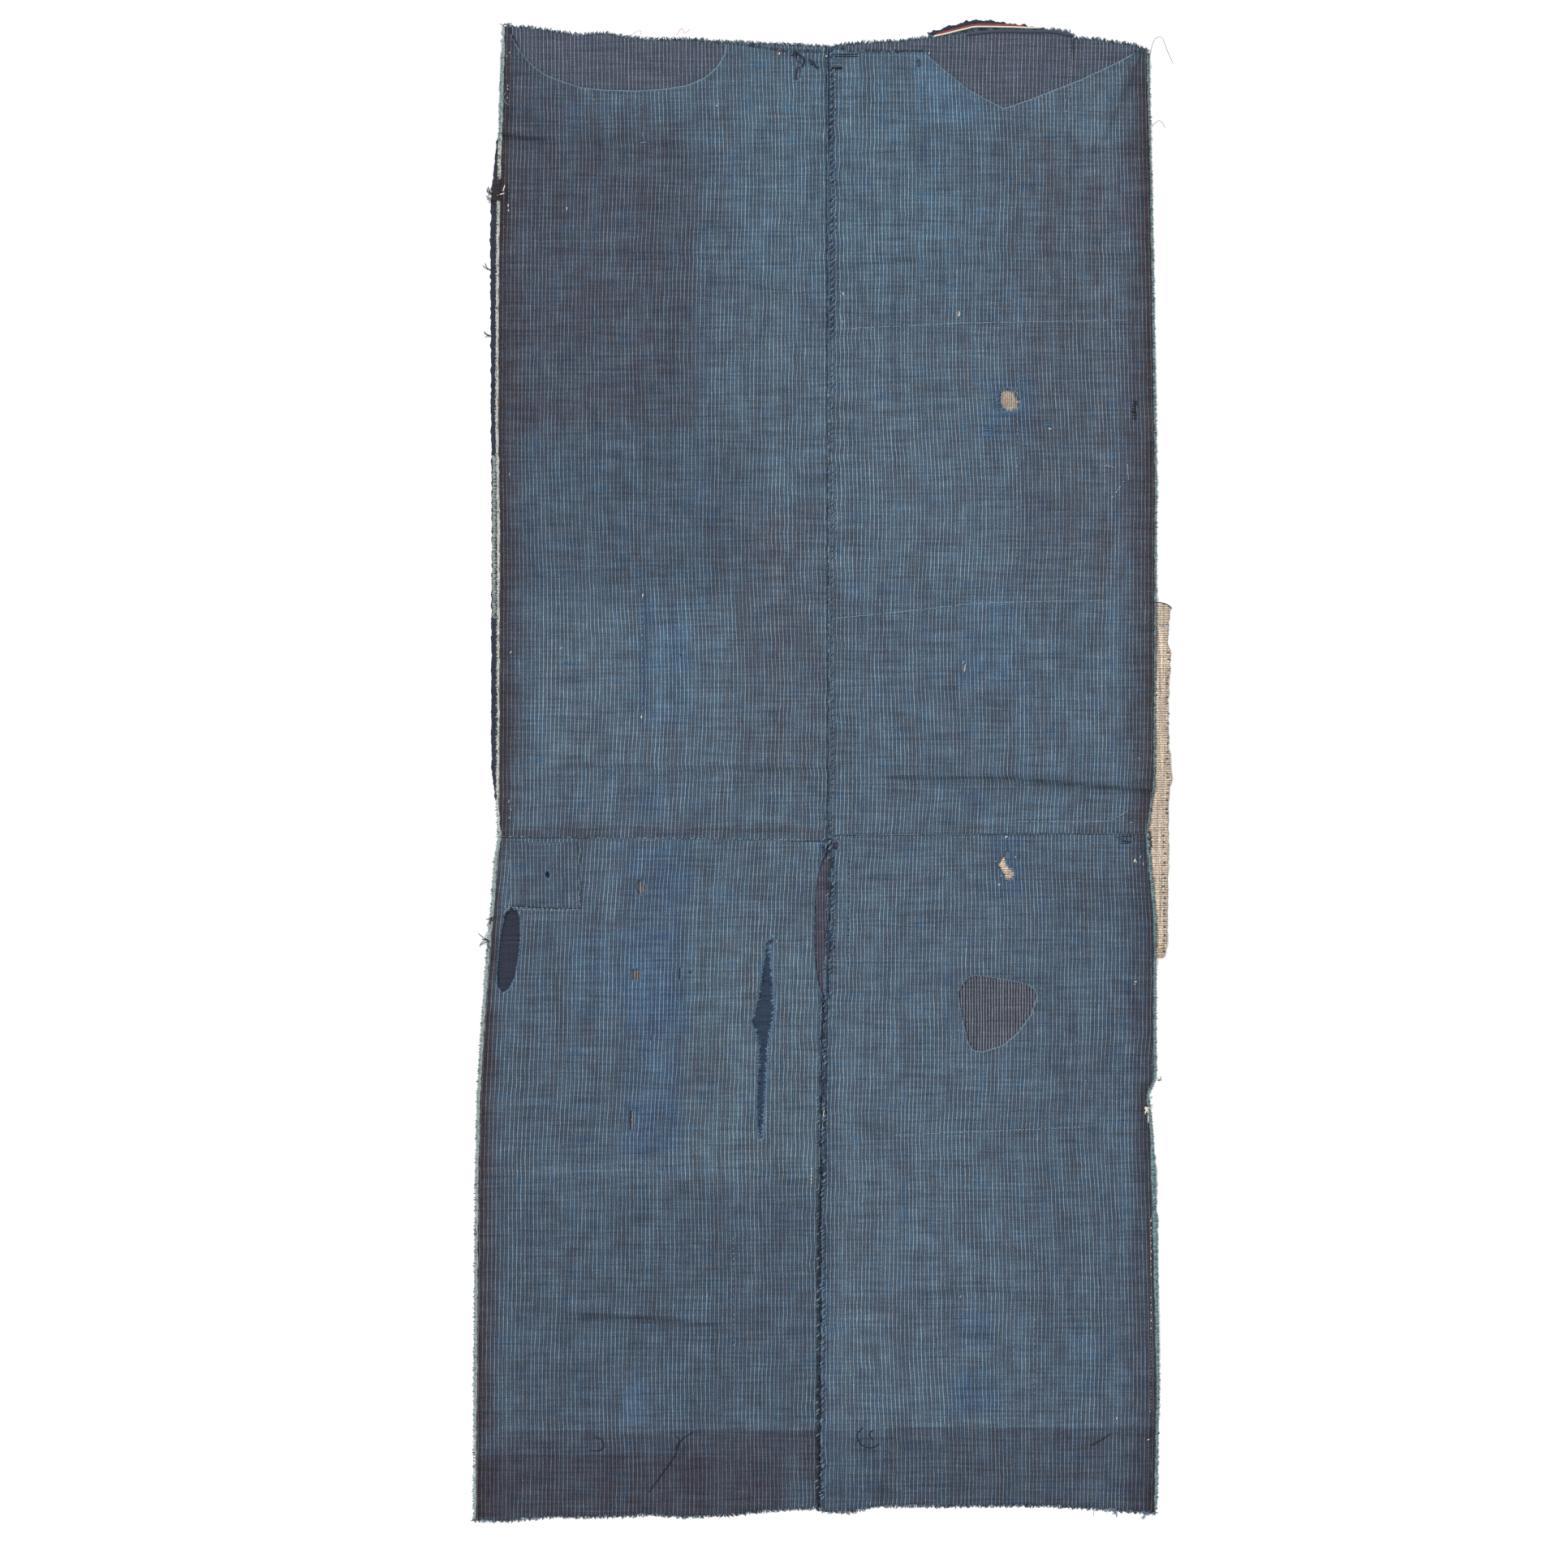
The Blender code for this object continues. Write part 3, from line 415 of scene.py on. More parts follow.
# Single stitches, flecks and knots. Columns: x, y, length, lean in degrees, radius, colour.
FLECKS = (
    (-43.0, 709.0, 2.4, 80.0, 0.70, RED_THREAD),
    (-42.6, 705.4, 2.4, 80.0, 0.70, CREAM_THREAD),
    (-180.0, 210.0, 2.6, 80.0, 0.80, RED_THREAD),
    (-177.0, 172.0, 3.0, 80.0, 0.65, CREAM_THREAD),
    (-225.0, 660.0, 2.2, 10.0, 0.49, GOLD_THREAD),
    (-179.5, 655.0, 2.2, 15.0, 0.49, GOLD_THREAD),
    (-104.0, 654.0, 1.6, 0.0, 0.54, CREAM_THREAD),
    (-177.0, 626.0, 6.0, 88.0, 0.38, RIM_THREAD),
    (-176.0, 618.0, 7.0, 2.0, 0.38, RIM_THREAD),
    (-252.0, 553.0, 3.4, 84.0, 0.49, CREAM_THREAD),
    (-140.0, 113.0, 2.2, 90.0, 0.61, NAVY_THREAD),
    (136.0, -519.0, 3.0, 60.0, 0.57, TAN_THREAD),
    (4.0, 703.0, 1.6, 40.0, 0.61, CREAM_THREAD),
    (105.0, 706.0, 2.0, 70.0, 0.61, CREAM_THREAD),
    (-311.0, 703.0, 1.8, 20.0, 0.50, PALE_THREAD),
    (-308.0, 706.5, 1.8, 60.0, 0.61, PALE_THREAD),
    (-310.0, 674.0, 2.0, 80.0, 0.50, PALE_THREAD),
    (-310.0, 670.4, 2.0, 90.0, 0.61, PALE_THREAD),
    (-310.4, 662.0, 2.2, 85.0, 0.50, PALE_THREAD),
    (-313.8, 573.0, 7.0, 72.0, 0.62, CREAM_THREAD),
    (-316.0, 567.2, 6.4, 14.0, 0.62, CREAM_THREAD),
    (-309.6, 556.0, 2.6, 85.0, 0.61, CREAM_THREAD),
    (-309.4, 551.0, 1.8, 85.0, 0.54, CREAM_THREAD),
    (224.0, 336.0, 3.2, 160.0, 0.54, CREAM_THREAD),
    (-178.4, 52.0, 3.0, 80.0, 0.65, CREAM_THREAD),
    (-137.0, 115.0, 3.6, 85.0, 0.54, PALE_THREAD),
    (-257.0, 120.0, 2.6, 20.0, 0.61, PALE_THREAD),
    (140.2, 100.0, 8.4, 82.0, 0.95, CHALK_THREAD),
    (139.0, 106.0, 4.0, 50.0, 0.50, PALE_THREAD),
    (-4.0, 692.0, 3.0, -35.0, 0.50, NAVY_THREAD),
    (-49.0, -164.0, 2.4, 100.0, 0.57, PALE_THREAD),
    (-45.4, -169.0, 2.0, 90.0, 0.54, PALE_THREAD),
    (-188.0, -345.0, 2.6, 88.0, 0.41, PALE_THREAD),
    (174.0, -113.0, 2.6, 20.0, 0.57, CREAM_THREAD),
    (176.0, -104.0, 2.0, 80.0, 0.54, PALE_THREAD),
    (190.0, -86.0, 2.4, 70.0, 0.54, PALE_THREAD),
    (171.0, -90.0, 2.0, 30.0, 0.54, RIM_THREAD),
    (181.0, -66.0, 3.0, 30.0, 0.61, CREAM_THREAD),
    (304.0, -52.0, 3.4, 10.0, 0.50, RIM_THREAD),
    (321.0, -344.0, 8.0, 89.0, 0.50, CREAM_THREAD),
    (323.4, -323.0, 3.4, 50.0, 0.80, GREEN_THREAD),
    (321.0, -660.0, 2.2, 20.0, 0.50, CREAM_THREAD),
    (290.0, -639.0, 2.2, 70.0, 0.57, CREAM_THREAD),
    (238.6, 655.0, 13.0, 82.0, 0.43, RIM_THREAD),
    (240.0, 648.6, 5.0, 5.0, 0.43, RIM_THREAD),
    (247.0, 711.0, 26.0, 90.0, 0.35, BLACK_THREAD),
    (20.5, 469.0, 3.6, 120.0, 0.50, CREAM_THREAD),
    (20.0, 441.0, 5.0, 95.0, 0.42, PALE_THREAD),
    (8.0, -66.0, 9.0, 25.0, 0.70, GATHER_COLOUR),
    (14.0, -69.0, 10.0, -32.0, 0.70, GATHER_COLOUR),
    (4.0, -74.0, 10.0, 68.0, 0.70, LUMP_AND_HIGHLIGHT_COLOUR),
    (12.0, -76.0, 8.0, 112.0, 0.70, DEEP_THREAD),
    (22.0, -63.6, 9.0, 4.0, 0.55, GATHER_COLOUR),
    (-309.0, -31.0, 3.4, 70.0, 0.45, PALE_THREAD),
    (-307.0, -39.0, 3.4, 110.0, 0.45, PALE_THREAD),
    (-308.4, -47.0, 3.0, 60.0, 0.45, PALE_THREAD),
    (-308.6, 291.0, 3.0, 80.0, 0.45, PALE_THREAD),
    (-307.0, 116.0, 2.6, 50.0, 0.50, CREAM_THREAD),
    (313.0, -86.0, 3.8, 70.0, 0.45, PALE_THREAD),
    (316.0, -93.0, 3.8, 100.0, 0.45, PALE_THREAD),
    (312.0, 11.0, 3.2, 130.0, 0.45, PALE_THREAD),
)

# The weft's loops along the two selvedges. Columns: y from, y to, at the left's colour, at the right's.
LOOPS = (
    (-730.0, -30.0, PALE_LOOP, TEAL_LOOP),
    (-30.0, 620.0, CREAM_LOOP, TEAL_LOOP),
    (620.0, 706.0, PALE_LOOP, TEAL_LOOP),
)

# Small places mended with close rows of stitches.
# Columns: x from, x to, y from, y to, space between the stitches, radius, colour.
MENDS = (
    (-326.4, -316.4, 561.0, 581.0, 1.1, 0.80, PURPLE_THREAD),
    (-312.6, -309.6, 560.0, 577.0, 1.5, 0.50, NAVY_THREAD),
    (217.0, 226.0, 338.0, 344.4, 2.2, 0.50, FRAY_BLUE),
    (8.6, 20.0, 692.6, 701.0, 1.3, 0.48, GATHER_COLOUR),
    (9.0, 20.0, 690.8, 691.8, 0.8, 0.60, BLACK_THREAD),
    (10.0, 38.0, 702.6, 704.2, 1.6, 0.45, BLACK_THREAD),
    (158.0, 169.0, 329.0, 337.4, 2.0, 0.50, FRAY_BLUE),
    (304.8, 309.6, 347.0, 363.0, 2.2, 0.75, BLACK_THREAD),
    (171.0, 175.6, 353.0, 375.0, 1.4, 0.48, FRAY_BLUE),
    (173.0, 190.0, 349.4, 352.4, 1.4, 0.45, FRAY_BLUE),
    (291.0, 306.0, -73.0, -66.0, 3.4, 0.40, NAVY_THREAD),
    (339.2, 341.4, 46.0, 126.0, 9.0, 0.60, NOTCH_THREAD),
    (338.4, 340.8, -44.0, 40.0, 7.0, 0.60, NOTCH_THREAD),
    (335.4, 337.6, -180.0, -60.0, 6.0, 0.60, NOTCH_THREAD),
    (328.0, 336.0, -184.0, -172.0, 2.2, 0.45, TAN_THREAD),
    (322.4, 324.2, -77.0, -61.0, 1.4, 0.55, NAVY_THREAD),
    (-325.4, -321.4, 150.0, 310.0, 0.9, 0.50, PALE_LOOP),
)

# Tufts of threads that stand out of an edge.
# Columns: x, y, reach, direction in degrees, threads, colour.
TUFTS = (
    (-326.0, 567.0, 9.0, 165.0, 6, NAVY_THREAD),
    (-326.0, 563.0, 8.0, 215.0, 4, NAVY_THREAD),
    (-326.0, 492.0, 11.0, 182.0, 2, NAVY_THREAD),
    (-327.0, 428.0, 12.0, 176.0, 3, NAVY_THREAD),
    (-328.0, -169.0, 14.0, 178.0, 6, NAVY_THREAD),
    (-326.0, -148.0, 7.0, 170.0, 6, NAVY_THREAD),
    (318.0, -333.0, 8.0, -15.0, 10, CREAM_THREAD),
    (330.0, -306.0, 6.0, 10.0, 3, TEAL_THREAD),
    (-52.0, -170.0, 4.0, 60.0, 4, DEEP_THREAD),
    (-62.0, -262.0, 5.0, 190.0, 5, FRAY_BLUE),
    (173.0, 364.0, 6.0, 190.0, 6, FRAY_BLUE),
    (-309.0, -138.0, 7.0, 120.0, 5, PALE_THREAD),
    (2.0, -76.0, 7.0, 200.0, 4, DEEP_THREAD),
    (134.0, 447.0, 4.0, 80.0, 7, CREAM_THREAD),
    (307.0, -90.0, 3.0, 10.0, 4, CREAM_THREAD),
    (307.0, -210.0, 3.0, -10.0, 4, CREAM_THREAD),
    (286.0, -728.0, 11.0, -42.0, 8, BLUE_THREAD),
    (316.0, -731.0, 8.0, -60.0, 9, BLUE_THREAD),
    (-120.0, 718.0, 5.0, 85.0, 4, TEAL_THREAD),
    (-104.0, 716.0, 5.0, 70.0, 4, TEAL_THREAD),
    (-312.0, 733.0, 3.0, 110.0, 3, CREAM_THREAD),
)

# Loose threads. Columns: radius, colour and the points of the line.
LOOSE_THREADS = (
    (0.42, BLACK_THREAD, ((-226.0, -657.0), (-218.0, -660.0), (-216.0, -667.0),
                          (-222.0, -671.0), (-230.0, -670.0))),
    (0.40, BLACK_THREAD, ((-128.0, -653.0), (-140.0, -661.0), (-146.0, -676.0),
                          (-160.0, -696.0), (-172.0, -713.0))),
    (0.30, BLACK_THREAD, ((-146.0, -655.0), (-142.0, -661.0), (-146.0, -670.0))),
    (0.42, BLACK_THREAD, ((40.0, -648.0), (34.0, -655.0), (38.0, -665.0), (48.0, -668.0),
                          (56.0, -664.0))),
    (0.36, BLACK_THREAD, ((50.0, -650.0), (46.0, -655.0), (50.0, -661.0))),
    (0.38, BLACK_THREAD, ((263.0, -666.0), (273.0, -661.0), (284.0, -654.0))),
    (0.16, NAVY_THREAD, ((322.0, 700.0), (326.0, 718.0), (334.0, 722.0), (340.0, 708.0),
                         (346.0, 695.0))),
    (0.16, NAVY_THREAD, ((324.0, 634.0), (332.0, 640.0), (338.0, 632.0))),
    (0.16, NAVY_THREAD, ((266.0, -722.0), (267.0, -728.0), (267.0, -736.0))),
    (0.15, RED_THREAD, ((-192.0, 722.0), (-186.0, 726.0), (-180.0, 729.0), (-179.0, 724.0))),
    (0.15, RED_THREAD, ((-144.0, 724.0), (-139.0, 731.0), (-136.0, 726.0), (-131.0, 730.0))),
    (0.26, RIM_THREAD, ((-311.0, 668.0), (-314.0, 664.0), (-313.0, 658.0), (-309.0, 655.0))),
    (0.38, CREAM_THREAD, ((2.0, -333.0), (1.0, -340.0), (0.0, -347.0), (0.4, -355.0))),
    (0.45, BLACK_THREAD, ((3.4, -334.0), (2.2, -341.0), (1.2, -348.0), (1.6, -356.0))),
    (0.42, PALE_THREAD, ((330.0, 146.0), (333.0, 141.0), (336.0, 144.0), (340.0, 140.0))),
    (0.50, NAVY_THREAD, ((326.0, 165.0), (334.0, 164.6), (340.0, 162.6), (344.0, 159.0))),
    (0.34, RIM_THREAD, ((-240.6, -72.0), (-239.0, -79.0), (-240.4, -90.0), (-238.6, -96.0),
                        (-240.0, -109.0), (-239.2, -118.0), (-240.6, -124.0), (-238.6, -134.0))),
    (0.85, NAVY_THREAD, ((-31.0, 703.0), (-26.0, 706.0), (-20.0, 702.0), (-18.6, 697.0),
                         (-21.0, 692.0))),
    (0.80, NAVY_THREAD, ((-14.0, 700.0), (-9.0, 696.0), (-5.0, 690.0))),
)

# The edge that is rolled over at the foot of the navy crest, and the two cords sewn along it.
ROLLED_EDGE = ((141.0, 724.6), (170.0, 727.4), (200.0, 727.2), (229.0, 726.8), (245.0, 723.6))
CREAM_CORD = (
    (109.0, 722.6),
    (119.0, 724.8),
    (130.0, 727.6),
    (142.0, 730.4),
    (152.0, 732.2),
    (180.0, 732.0),
    (205.0, 731.2),
    (216.0, 731.2),
)
RED_CORD = ((111.0, 724.6), (130.0, 729.6), (152.0, 734.2), (180.0, 734.0), (199.0, 733.0))


def across(table, along):
    """Where a line lies at each place along it, read between the rows of its table."""
    return np.interp(along, [row[0] for row in table], [row[1] for row in table])


def evened(table, along):
    """Where a line lies at each place along it, without its short bends."""
    return np.mean([across(table, along + shift) for shift in range(-45, 46, 15)], axis=0)


def soft_box(x, y, box, border):
    """One inside a box, falling off smoothly to nothing over its border."""
    x_low, x_high, y_low, y_high = box
    inside = np.minimum(np.minimum(x - x_low, x_high - x), np.minimum(y - y_low, y_high - y))
    share = np.clip(inside / border + 0.5, 0.0, 1.0)
    return share * share * (3.0 - 2.0 * share)


def unevenness(x, y, size, seed):
    """Smooth noise from -1 to 1 whose lumps are about the given size."""
    places = zip(x.tolist(), y.tolist())
    return np.array([noise.noise(Vector((px / size, py / size, seed))) for px, py in places])


def distance_to_line(x, y, start, end):
    """How far off a straight line each point lies, with its sign, and how far past its ends."""
    start_x, start_y = start
    along_x = end[0] - start_x
    along_y = end[1] - start_y
    length = math.hypot(along_x, along_y)
    along_x /= length
    along_y /= length
    forward = (x - start_x) * along_x + (y - start_y) * along_y
    aside = (y - start_y) * along_x - (x - start_x) * along_y
    beyond = np.maximum(np.maximum(-forward, forward - length), 0.0)
    return aside, beyond


def near_creases(x, y):
    """For each crease: how far aside each point is, its nearness to the stretch, rise, and dark, which
    is its painted shade.
    """
    for x_one, y_one, x_two, y_two, rise, dark in CREASES:
        aside, beyond = distance_to_line(x, y, (x_one, y_one), (x_two, y_two))
        yield aside, np.exp(-((beyond / CREASE_END) ** 2)), rise, dark


def upper_face(node):
    """The faces of a solid that look up, as corner places in millimetres."""
    mesh = node.data
    faces = []
    for polygon in mesh.polygons:
        if polygon.normal.z > 0.2:
            corners = [mesh.vertices[index].co for index in polygon.vertices]
            faces.append([node.matrix_world @ corner / MM for corner in corners])
    return faces


def outlines_of(faces):
    """The closed outlines round joined faces, the cloth on each one's left hand."""
    sides = set()
    places = {}
    for face in faces:
        keys = [(round(corner.x, 2), round(corner.y, 2)) for corner in face]
        places.update(zip(keys, face))
        sides.update(zip(keys, keys[1:] + keys[:1]))
    onward = {start: end for start, end in sides if (end, start) not in sides}
    outlines = []
    while onward:
        first, following = onward.popitem()
        outline = [first]
        while following != first:
            outline.append(following)
            following = onward.pop(following)
        outlines.append(outline)
    return outlines


def rim_at(x, y):
    """The row of the rims table whose box holds a place, or none."""
    for rim in RIMS:
        if rim[0] <= x <= rim[1] and rim[2] <= y <= rim[3]:
            return rim
    return None


def is_seam(x, y):
    """Whether a place on a panel's outline lies on a seam between two panels."""
    on_middle = abs(x - across(MIDDLE_SEAM, y)) < 1.0
    on_cross = abs(y - across(CROSS_SEAM, x)) < 1.2
    return on_middle or on_cross


class Outline:
    """A closed line round a sheet or one of its holes, in short steps."""

    def __init__(self, corners, step, cut):
        self.points = []
        for start, end in zip(corners, corners[1:] + corners[:1]):
            steps = max(1, round(math.dist(start, end) / step(*start)))
            for count in range(steps):
                share = count / steps
                x = start[0] + (end[0] - start[0]) * share
                y = start[1] + (end[1] - start[1]) * share
                self.points.append((x, y))
        self.cut = cut

    def normals(self):
        """The direction out of the cloth at each point."""
        before = np.roll(self.array, 1, axis=0)
        after = np.roll(self.array, -1, axis=0)
        along = after - before
        length = np.maximum(np.hypot(along[:, 0], along[:, 1]), 1e-6)
        return np.column_stack((along[:, 1], -along[:, 0])) / length[:, None]

    @property
    def array(self):
        return np.array(self.points)

    def smooth(self, moving, rounds):
        """Round off the corners where the outline may move."""
        line = self.array
        for _ in range(rounds):
            middle = (np.roll(line, 1, axis=0) + np.roll(line, -1, axis=0)) / 2
            line = np.where(moving[:, None], (line + middle) / 2, line)
        self.points = [tuple(point) for point in line]

    def roughen(self, depths, size, seed):
        """Push each point out of or into the cloth by up to its depth."""
        line = self.array
        wander = unevenness(line[:, 0], line[:, 1], size, seed)
        wander += 0.5 * unevenness(line[:, 0], line[:, 1], size / 3, seed + 7.0)
        line = line + self.normals() * (wander * depths)[:, None]
        self.points = [tuple(point) for point in line]


def inside(x, y, outlines):
    """Whether each point is in the cloth, and so crosses an odd number of outlines on its way out."""
    odd = np.zeros(x.shape, dtype=bool)
    for outline in outlines:
        points = outline.points
        for (x_one, y_one), (x_two, y_two) in zip(points, points[1:] + points[:1]):
            if y_one == y_two:
                continue
            spans = (y_one > y) != (y_two > y)
            reach = x_one + (y - y_one) * (x_two - x_one) / (y_two - y_one)
            odd ^= spans & (x < reach)
    return odd


class Sheet:
    """One sheet of cloth: its net of points, its relief and its facts for the finish."""

    def __init__(self, node_name, spacing, seed):
        self.node_name = node_name
        self.is_panel = node_name.startswith("panel")
        self.thick = PANEL_THICK if self.is_panel else PATCH_THICK
        self.seed = seed
        faces = upper_face(frame["nodes"][node_name])
        corners = [tuple(corner) for face in faces for corner in face]
        triangles = [tuple(range(index, index + 3)) for index in range(0, len(corners), 3)]
        self.solid_top = BVHTree.FromPolygons(corners, triangles)
        self.outlines = self.drawn_outlines(outlines_of(faces))
        self.net(spacing)

    def drawn_outlines(self, loops):
        """The solid's outlines in fine steps, worn and uneven, with the small holes added."""
        outlines = []
        for number, loop in enumerate(loops):
            outline = Outline(loop, lambda x, y: 1.0 if rim_at(x, y) and self.is_panel else 2.0, False)
            rims = [rim_at(x, y) if self.is_panel else None for x, y in outline.points]
            seams = [self.is_panel and is_seam(x, y) for x, y in outline.points]
            outline.smooth(np.array([rim is not None for rim in rims]), 3)
            depths = []
            for rim, seam in zip(rims, seams):
                depths.append(rim[5] if rim else 0.0 if seam else EDGE_WANDER)
            is_raw = np.abs(outline.array[:, 1] - RAW_CENTRE) > RAW_REACH
            outline.roughen(np.array(depths) * np.where(is_raw, 2.0, 1.0), 4.0, self.seed + number)
            outlines.append(outline)
        for piece, x, y, half_width, half_height, lean in SMALL_HOLES:
            if piece == self.node_name:
                outlines.append(self.small_hole(x, y, half_width, half_height, lean))
        return outlines

    def small_hole(self, x, y, half_width, half_height, lean):
        """A ragged oval, run round with the cloth on its left hand."""
        turn = math.radians(lean)
        corners = []
        for step in range(14):
            angle = -2.0 * math.pi * step / 14
            ragged = 1.0 + 0.25 * noise.noise(Vector((x + step * 1.7, y, self.seed)))
            aside = math.cos(angle) * half_width * ragged
            up = math.sin(angle) * half_height * ragged
            corners.append((
                x + aside * math.cos(turn) - up * math.sin(turn),
                y + aside * math.sin(turn) + up * math.cos(turn),
            ))
        return Outline(corners, lambda x, y: 0.8, True)

    def net(self, spacing):
        """Points on the outlines, in rows beside them and all over the cloth, joined in triangles."""
        line_points = []
        widths = []
        frayed = []
        links = []
        beside = []
        for outline in self.outlines:
            start = len(line_points)
            count = len(outline.points)
            links += [(start + index, start + (index + 1) % count) for index in range(count)]
            for (x, y), (out_x, out_y) in zip(outline.points, outline.normals()):
                rim = rim_at(x, y) if self.is_panel else None
                worn = outline.cut or rim is not None
                widths.append(SMALL_HOLE_RIM if outline.cut else rim[4] if rim else 0.0)
                frayed.append(rim[7] if rim else 1.0)
                for row in RIM_ROWS if worn else EDGE_ROWS:
                    beside.append((x - out_x * row, y - out_y * row, row))
            line_points += outline.points
        near = kdtree.KDTree(len(line_points))
        for index, (x, y) in enumerate(line_points):
            near.insert((x, y, 0.0), index)
        near.balance()
        low = np.min(line_points, axis=0)
        high = np.max(line_points, axis=0)
        kept = list(line_points)
        chosen = []
        for x, y, row in beside[::2]:
            if near.find((x, y, 0.0))[2] > row * 0.8:
                chosen.append((x, y, row))
        rows = int((high[1] - low[1]) / (spacing * ROW_SHARE)) + 1
        columns = int((high[0] - low[0]) / spacing) + 1
        for row in range(rows):
            y = low[1] + row * spacing * ROW_SHARE
            for column in range(columns):
                x = low[0] + (column + 0.5 * (row % 2)) * spacing
                chosen.append((x, y, 0.0))
        x = np.array([point[0] for point in chosen])
        y = np.array([point[1] for point in chosen])
        within = inside(x, y, self.outlines)
        for (px, py, row), good in zip(chosen, within):
            if not good:
                continue
            if row == 0.0:
                _, index, gap = near.find((px, py, 0.0))
                if gap < (RIM_CLEAR if widths[index] > 0.0 else 0.45 * spacing):
                    continue
            kept.append((px, py))
        flat = [Vector(point) for point in kept]
        places, _, faces, _, _, _ = geometry.delaunay_2d_cdt(flat, links, [], 0, 1e-4)
        self.x = np.array([place.x for place in places])
        self.y = np.array([place.y for place in places])
        triangles = np.array(faces)
        middle_x = self.x[triangles].mean(axis=1)
        middle_y = self.y[triangles].mean(axis=1)
        triangles = triangles[inside(middle_x, middle_y, self.outlines)]
        used = np.unique(triangles)
        renumbered = np.zeros(len(self.x), dtype=int)
        renumbered[used] = np.arange(len(used))
        self.triangles = renumbered[triangles]
        self.x = self.x[used]
        self.y = self.y[used]
        gaps = []
        rims = []
        kinds = []
        for x, y in zip(self.x.tolist(), self.y.tolist()):
            _, index, gap = near.find((x, y, 0.0))
            gaps.append(gap)
            rims.append(gap / widths[index] if widths[index] > 0.0 else NO_RIM)
            kinds.append(frayed[index])
        self.edge_gap = np.array(gaps)
        self.rim = np.array(rims)
        self.frayed = np.array(kinds)

    def solid_height(self, x, y):
        """The top of the solid under a place, smoothed over its neighbourhood."""
        total = 0.0
        hits = 0
        reach = 4.0
        for aside, up in ((0.0, 0.0), (reach, 0.0), (-reach, 0.0), (0.0, reach), (0.0, -reach)):
            place, _, _, _ = self.solid_top.ray_cast((x + aside, y + up, 50.0), (0.0, 0.0, -1.0))
            if place is not None:
                total += place.z
                hits += 1
        if hits == 0:
            return self.solid_top.find_nearest((x, y, 0.0))[0].z
        return total / hits

    def heights(self, wrinkle):
        """The top of the sheet: the solid's, with the cloth's own small relief on it."""
        x = self.x
        y = self.y
        base = np.array([self.solid_height(px, py) for px, py in zip(x.tolist(), y.tolist())])
        relief = np.maximum(unevenness(x, y, 46.0, self.seed) + 0.15, 0.0) * wrinkle
        relief += np.maximum(unevenness(x, y * 0.6, 15.0, self.seed + 3.0), 0.0) * wrinkle * 0.35
        if self.is_panel:
            creased = np.zeros(x.shape)
            for aside, nearness, rise, _ in near_creases(x, y):
                ridge = rise * np.exp(-((aside - 2.0) / CREASE_WIDTH) ** 2)
                creased = np.maximum(creased, ridge * nearness)
            relief += creased + self.puckers()
            roll = 0.45 * np.exp(-((self.rim - 0.9) / 0.5) ** 2) - 0.5 * np.exp(-self.rim / 0.35)
            relief += np.where(self.rim < NO_RIM - 1.0, roll, 0.0)
        relief -= 0.4 * np.exp(-self.edge_gap / 0.7)
        return base + np.maximum(relief, -0.6)

    def puckers(self):
        """Small gathers that the seams draw into the cloth, and the grooves of the seams."""
        from_middle = np.abs(self.x - across(MIDDLE_SEAM, self.y))
        from_cross = np.abs(self.y - across(CROSS_SEAM, self.x))
        gathers = np.zeros(self.x.shape)
        for gap, along, pitch, depth, groove in (
            (from_middle, self.y, 6.8, 0.28, 0.5),
            (from_cross, self.x, 5.6, 0.24, 0.2),
        ):
            wander = along + 1.5 * unevenness(along, gap * 0.1, 20.0, self.seed + 5.0)
            wave = 0.5 + 0.5 * np.sin(wander * 2.0 * math.pi / pitch)
            gathers += depth * wave * np.exp(-gap / 7.0)
            gathers += 0.35 * np.exp(-((gap - 3.0) / 2.0) ** 2)
            gathers -= groove * np.exp(-((gap / 1.1) ** 2))
        lumps = np.maximum(unevenness(self.x, self.y, 8.0, self.seed + 8.0), -0.1)
        beside = np.exp(-from_middle / 10.0) + 0.6 * np.exp(-from_cross / 8.0)
        return gathers + (1.8 if "lower" in self.node_name else 1.1) * lumps * beside

    def side_lines(self):
        """The lines at the left and the right of the loom width, at each point's height."""
        if "left" in self.node_name:
            return across(LEFT_EDGE, self.y), across(MIDDLE_SEAM, self.y)
        return across(MIDDLE_SEAM, self.y), across(RIGHT_EDGE, self.y)

    def thread_places(self, angle, turned):
        """Where each point lies in its cloth: across the warp, and along it."""
        x = self.x
        y = self.y
        if self.is_panel:
            is_left = "left" in self.node_name
            left = evened(LEFT_EDGE if is_left else MIDDLE_SEAM, y)
            right = evened(MIDDLE_SEAM if is_left else RIGHT_EDGE, y)
            lean = 5.0 * unevenness(x, y, 170.0, self.seed + 14.0)
            lean *= np.clip(np.minimum(x - left, right - x) / 60.0, 0.0, 1.0)
            x = (x - left) / (right - left) * (LEFT_WIDTH if is_left else RIGHT_WIDTH) + lean
            for aside, nearness, rise, _ in near_creases(self.x, self.y):
                x = x + 0.7 * rise * np.tanh(aside / 3.0) * nearness
        x = x + 0.5 * unevenness(self.x, self.y, 70.0, self.seed + 11.0)
        if self.is_panel:
            from_middle = np.abs(self.x - across(MIDDLE_SEAM, self.y))
            sway = 0.3 + 0.9 * np.exp(-from_middle / 60.0)
            x = x + sway * unevenness(self.x * 0.4, self.y, 15.0, self.seed + 12.0)
        y = y + 0.5 * unevenness(self.x, self.y, 60.0, self.seed + 13.0)
        cosine = math.cos(math.radians(angle))
        sine = math.sin(math.radians(angle))
        across_warp = x * cosine + y * sine
        along_warp = y * cosine - x * sine
        if turned:
            across_warp, along_warp = along_warp, across_warp
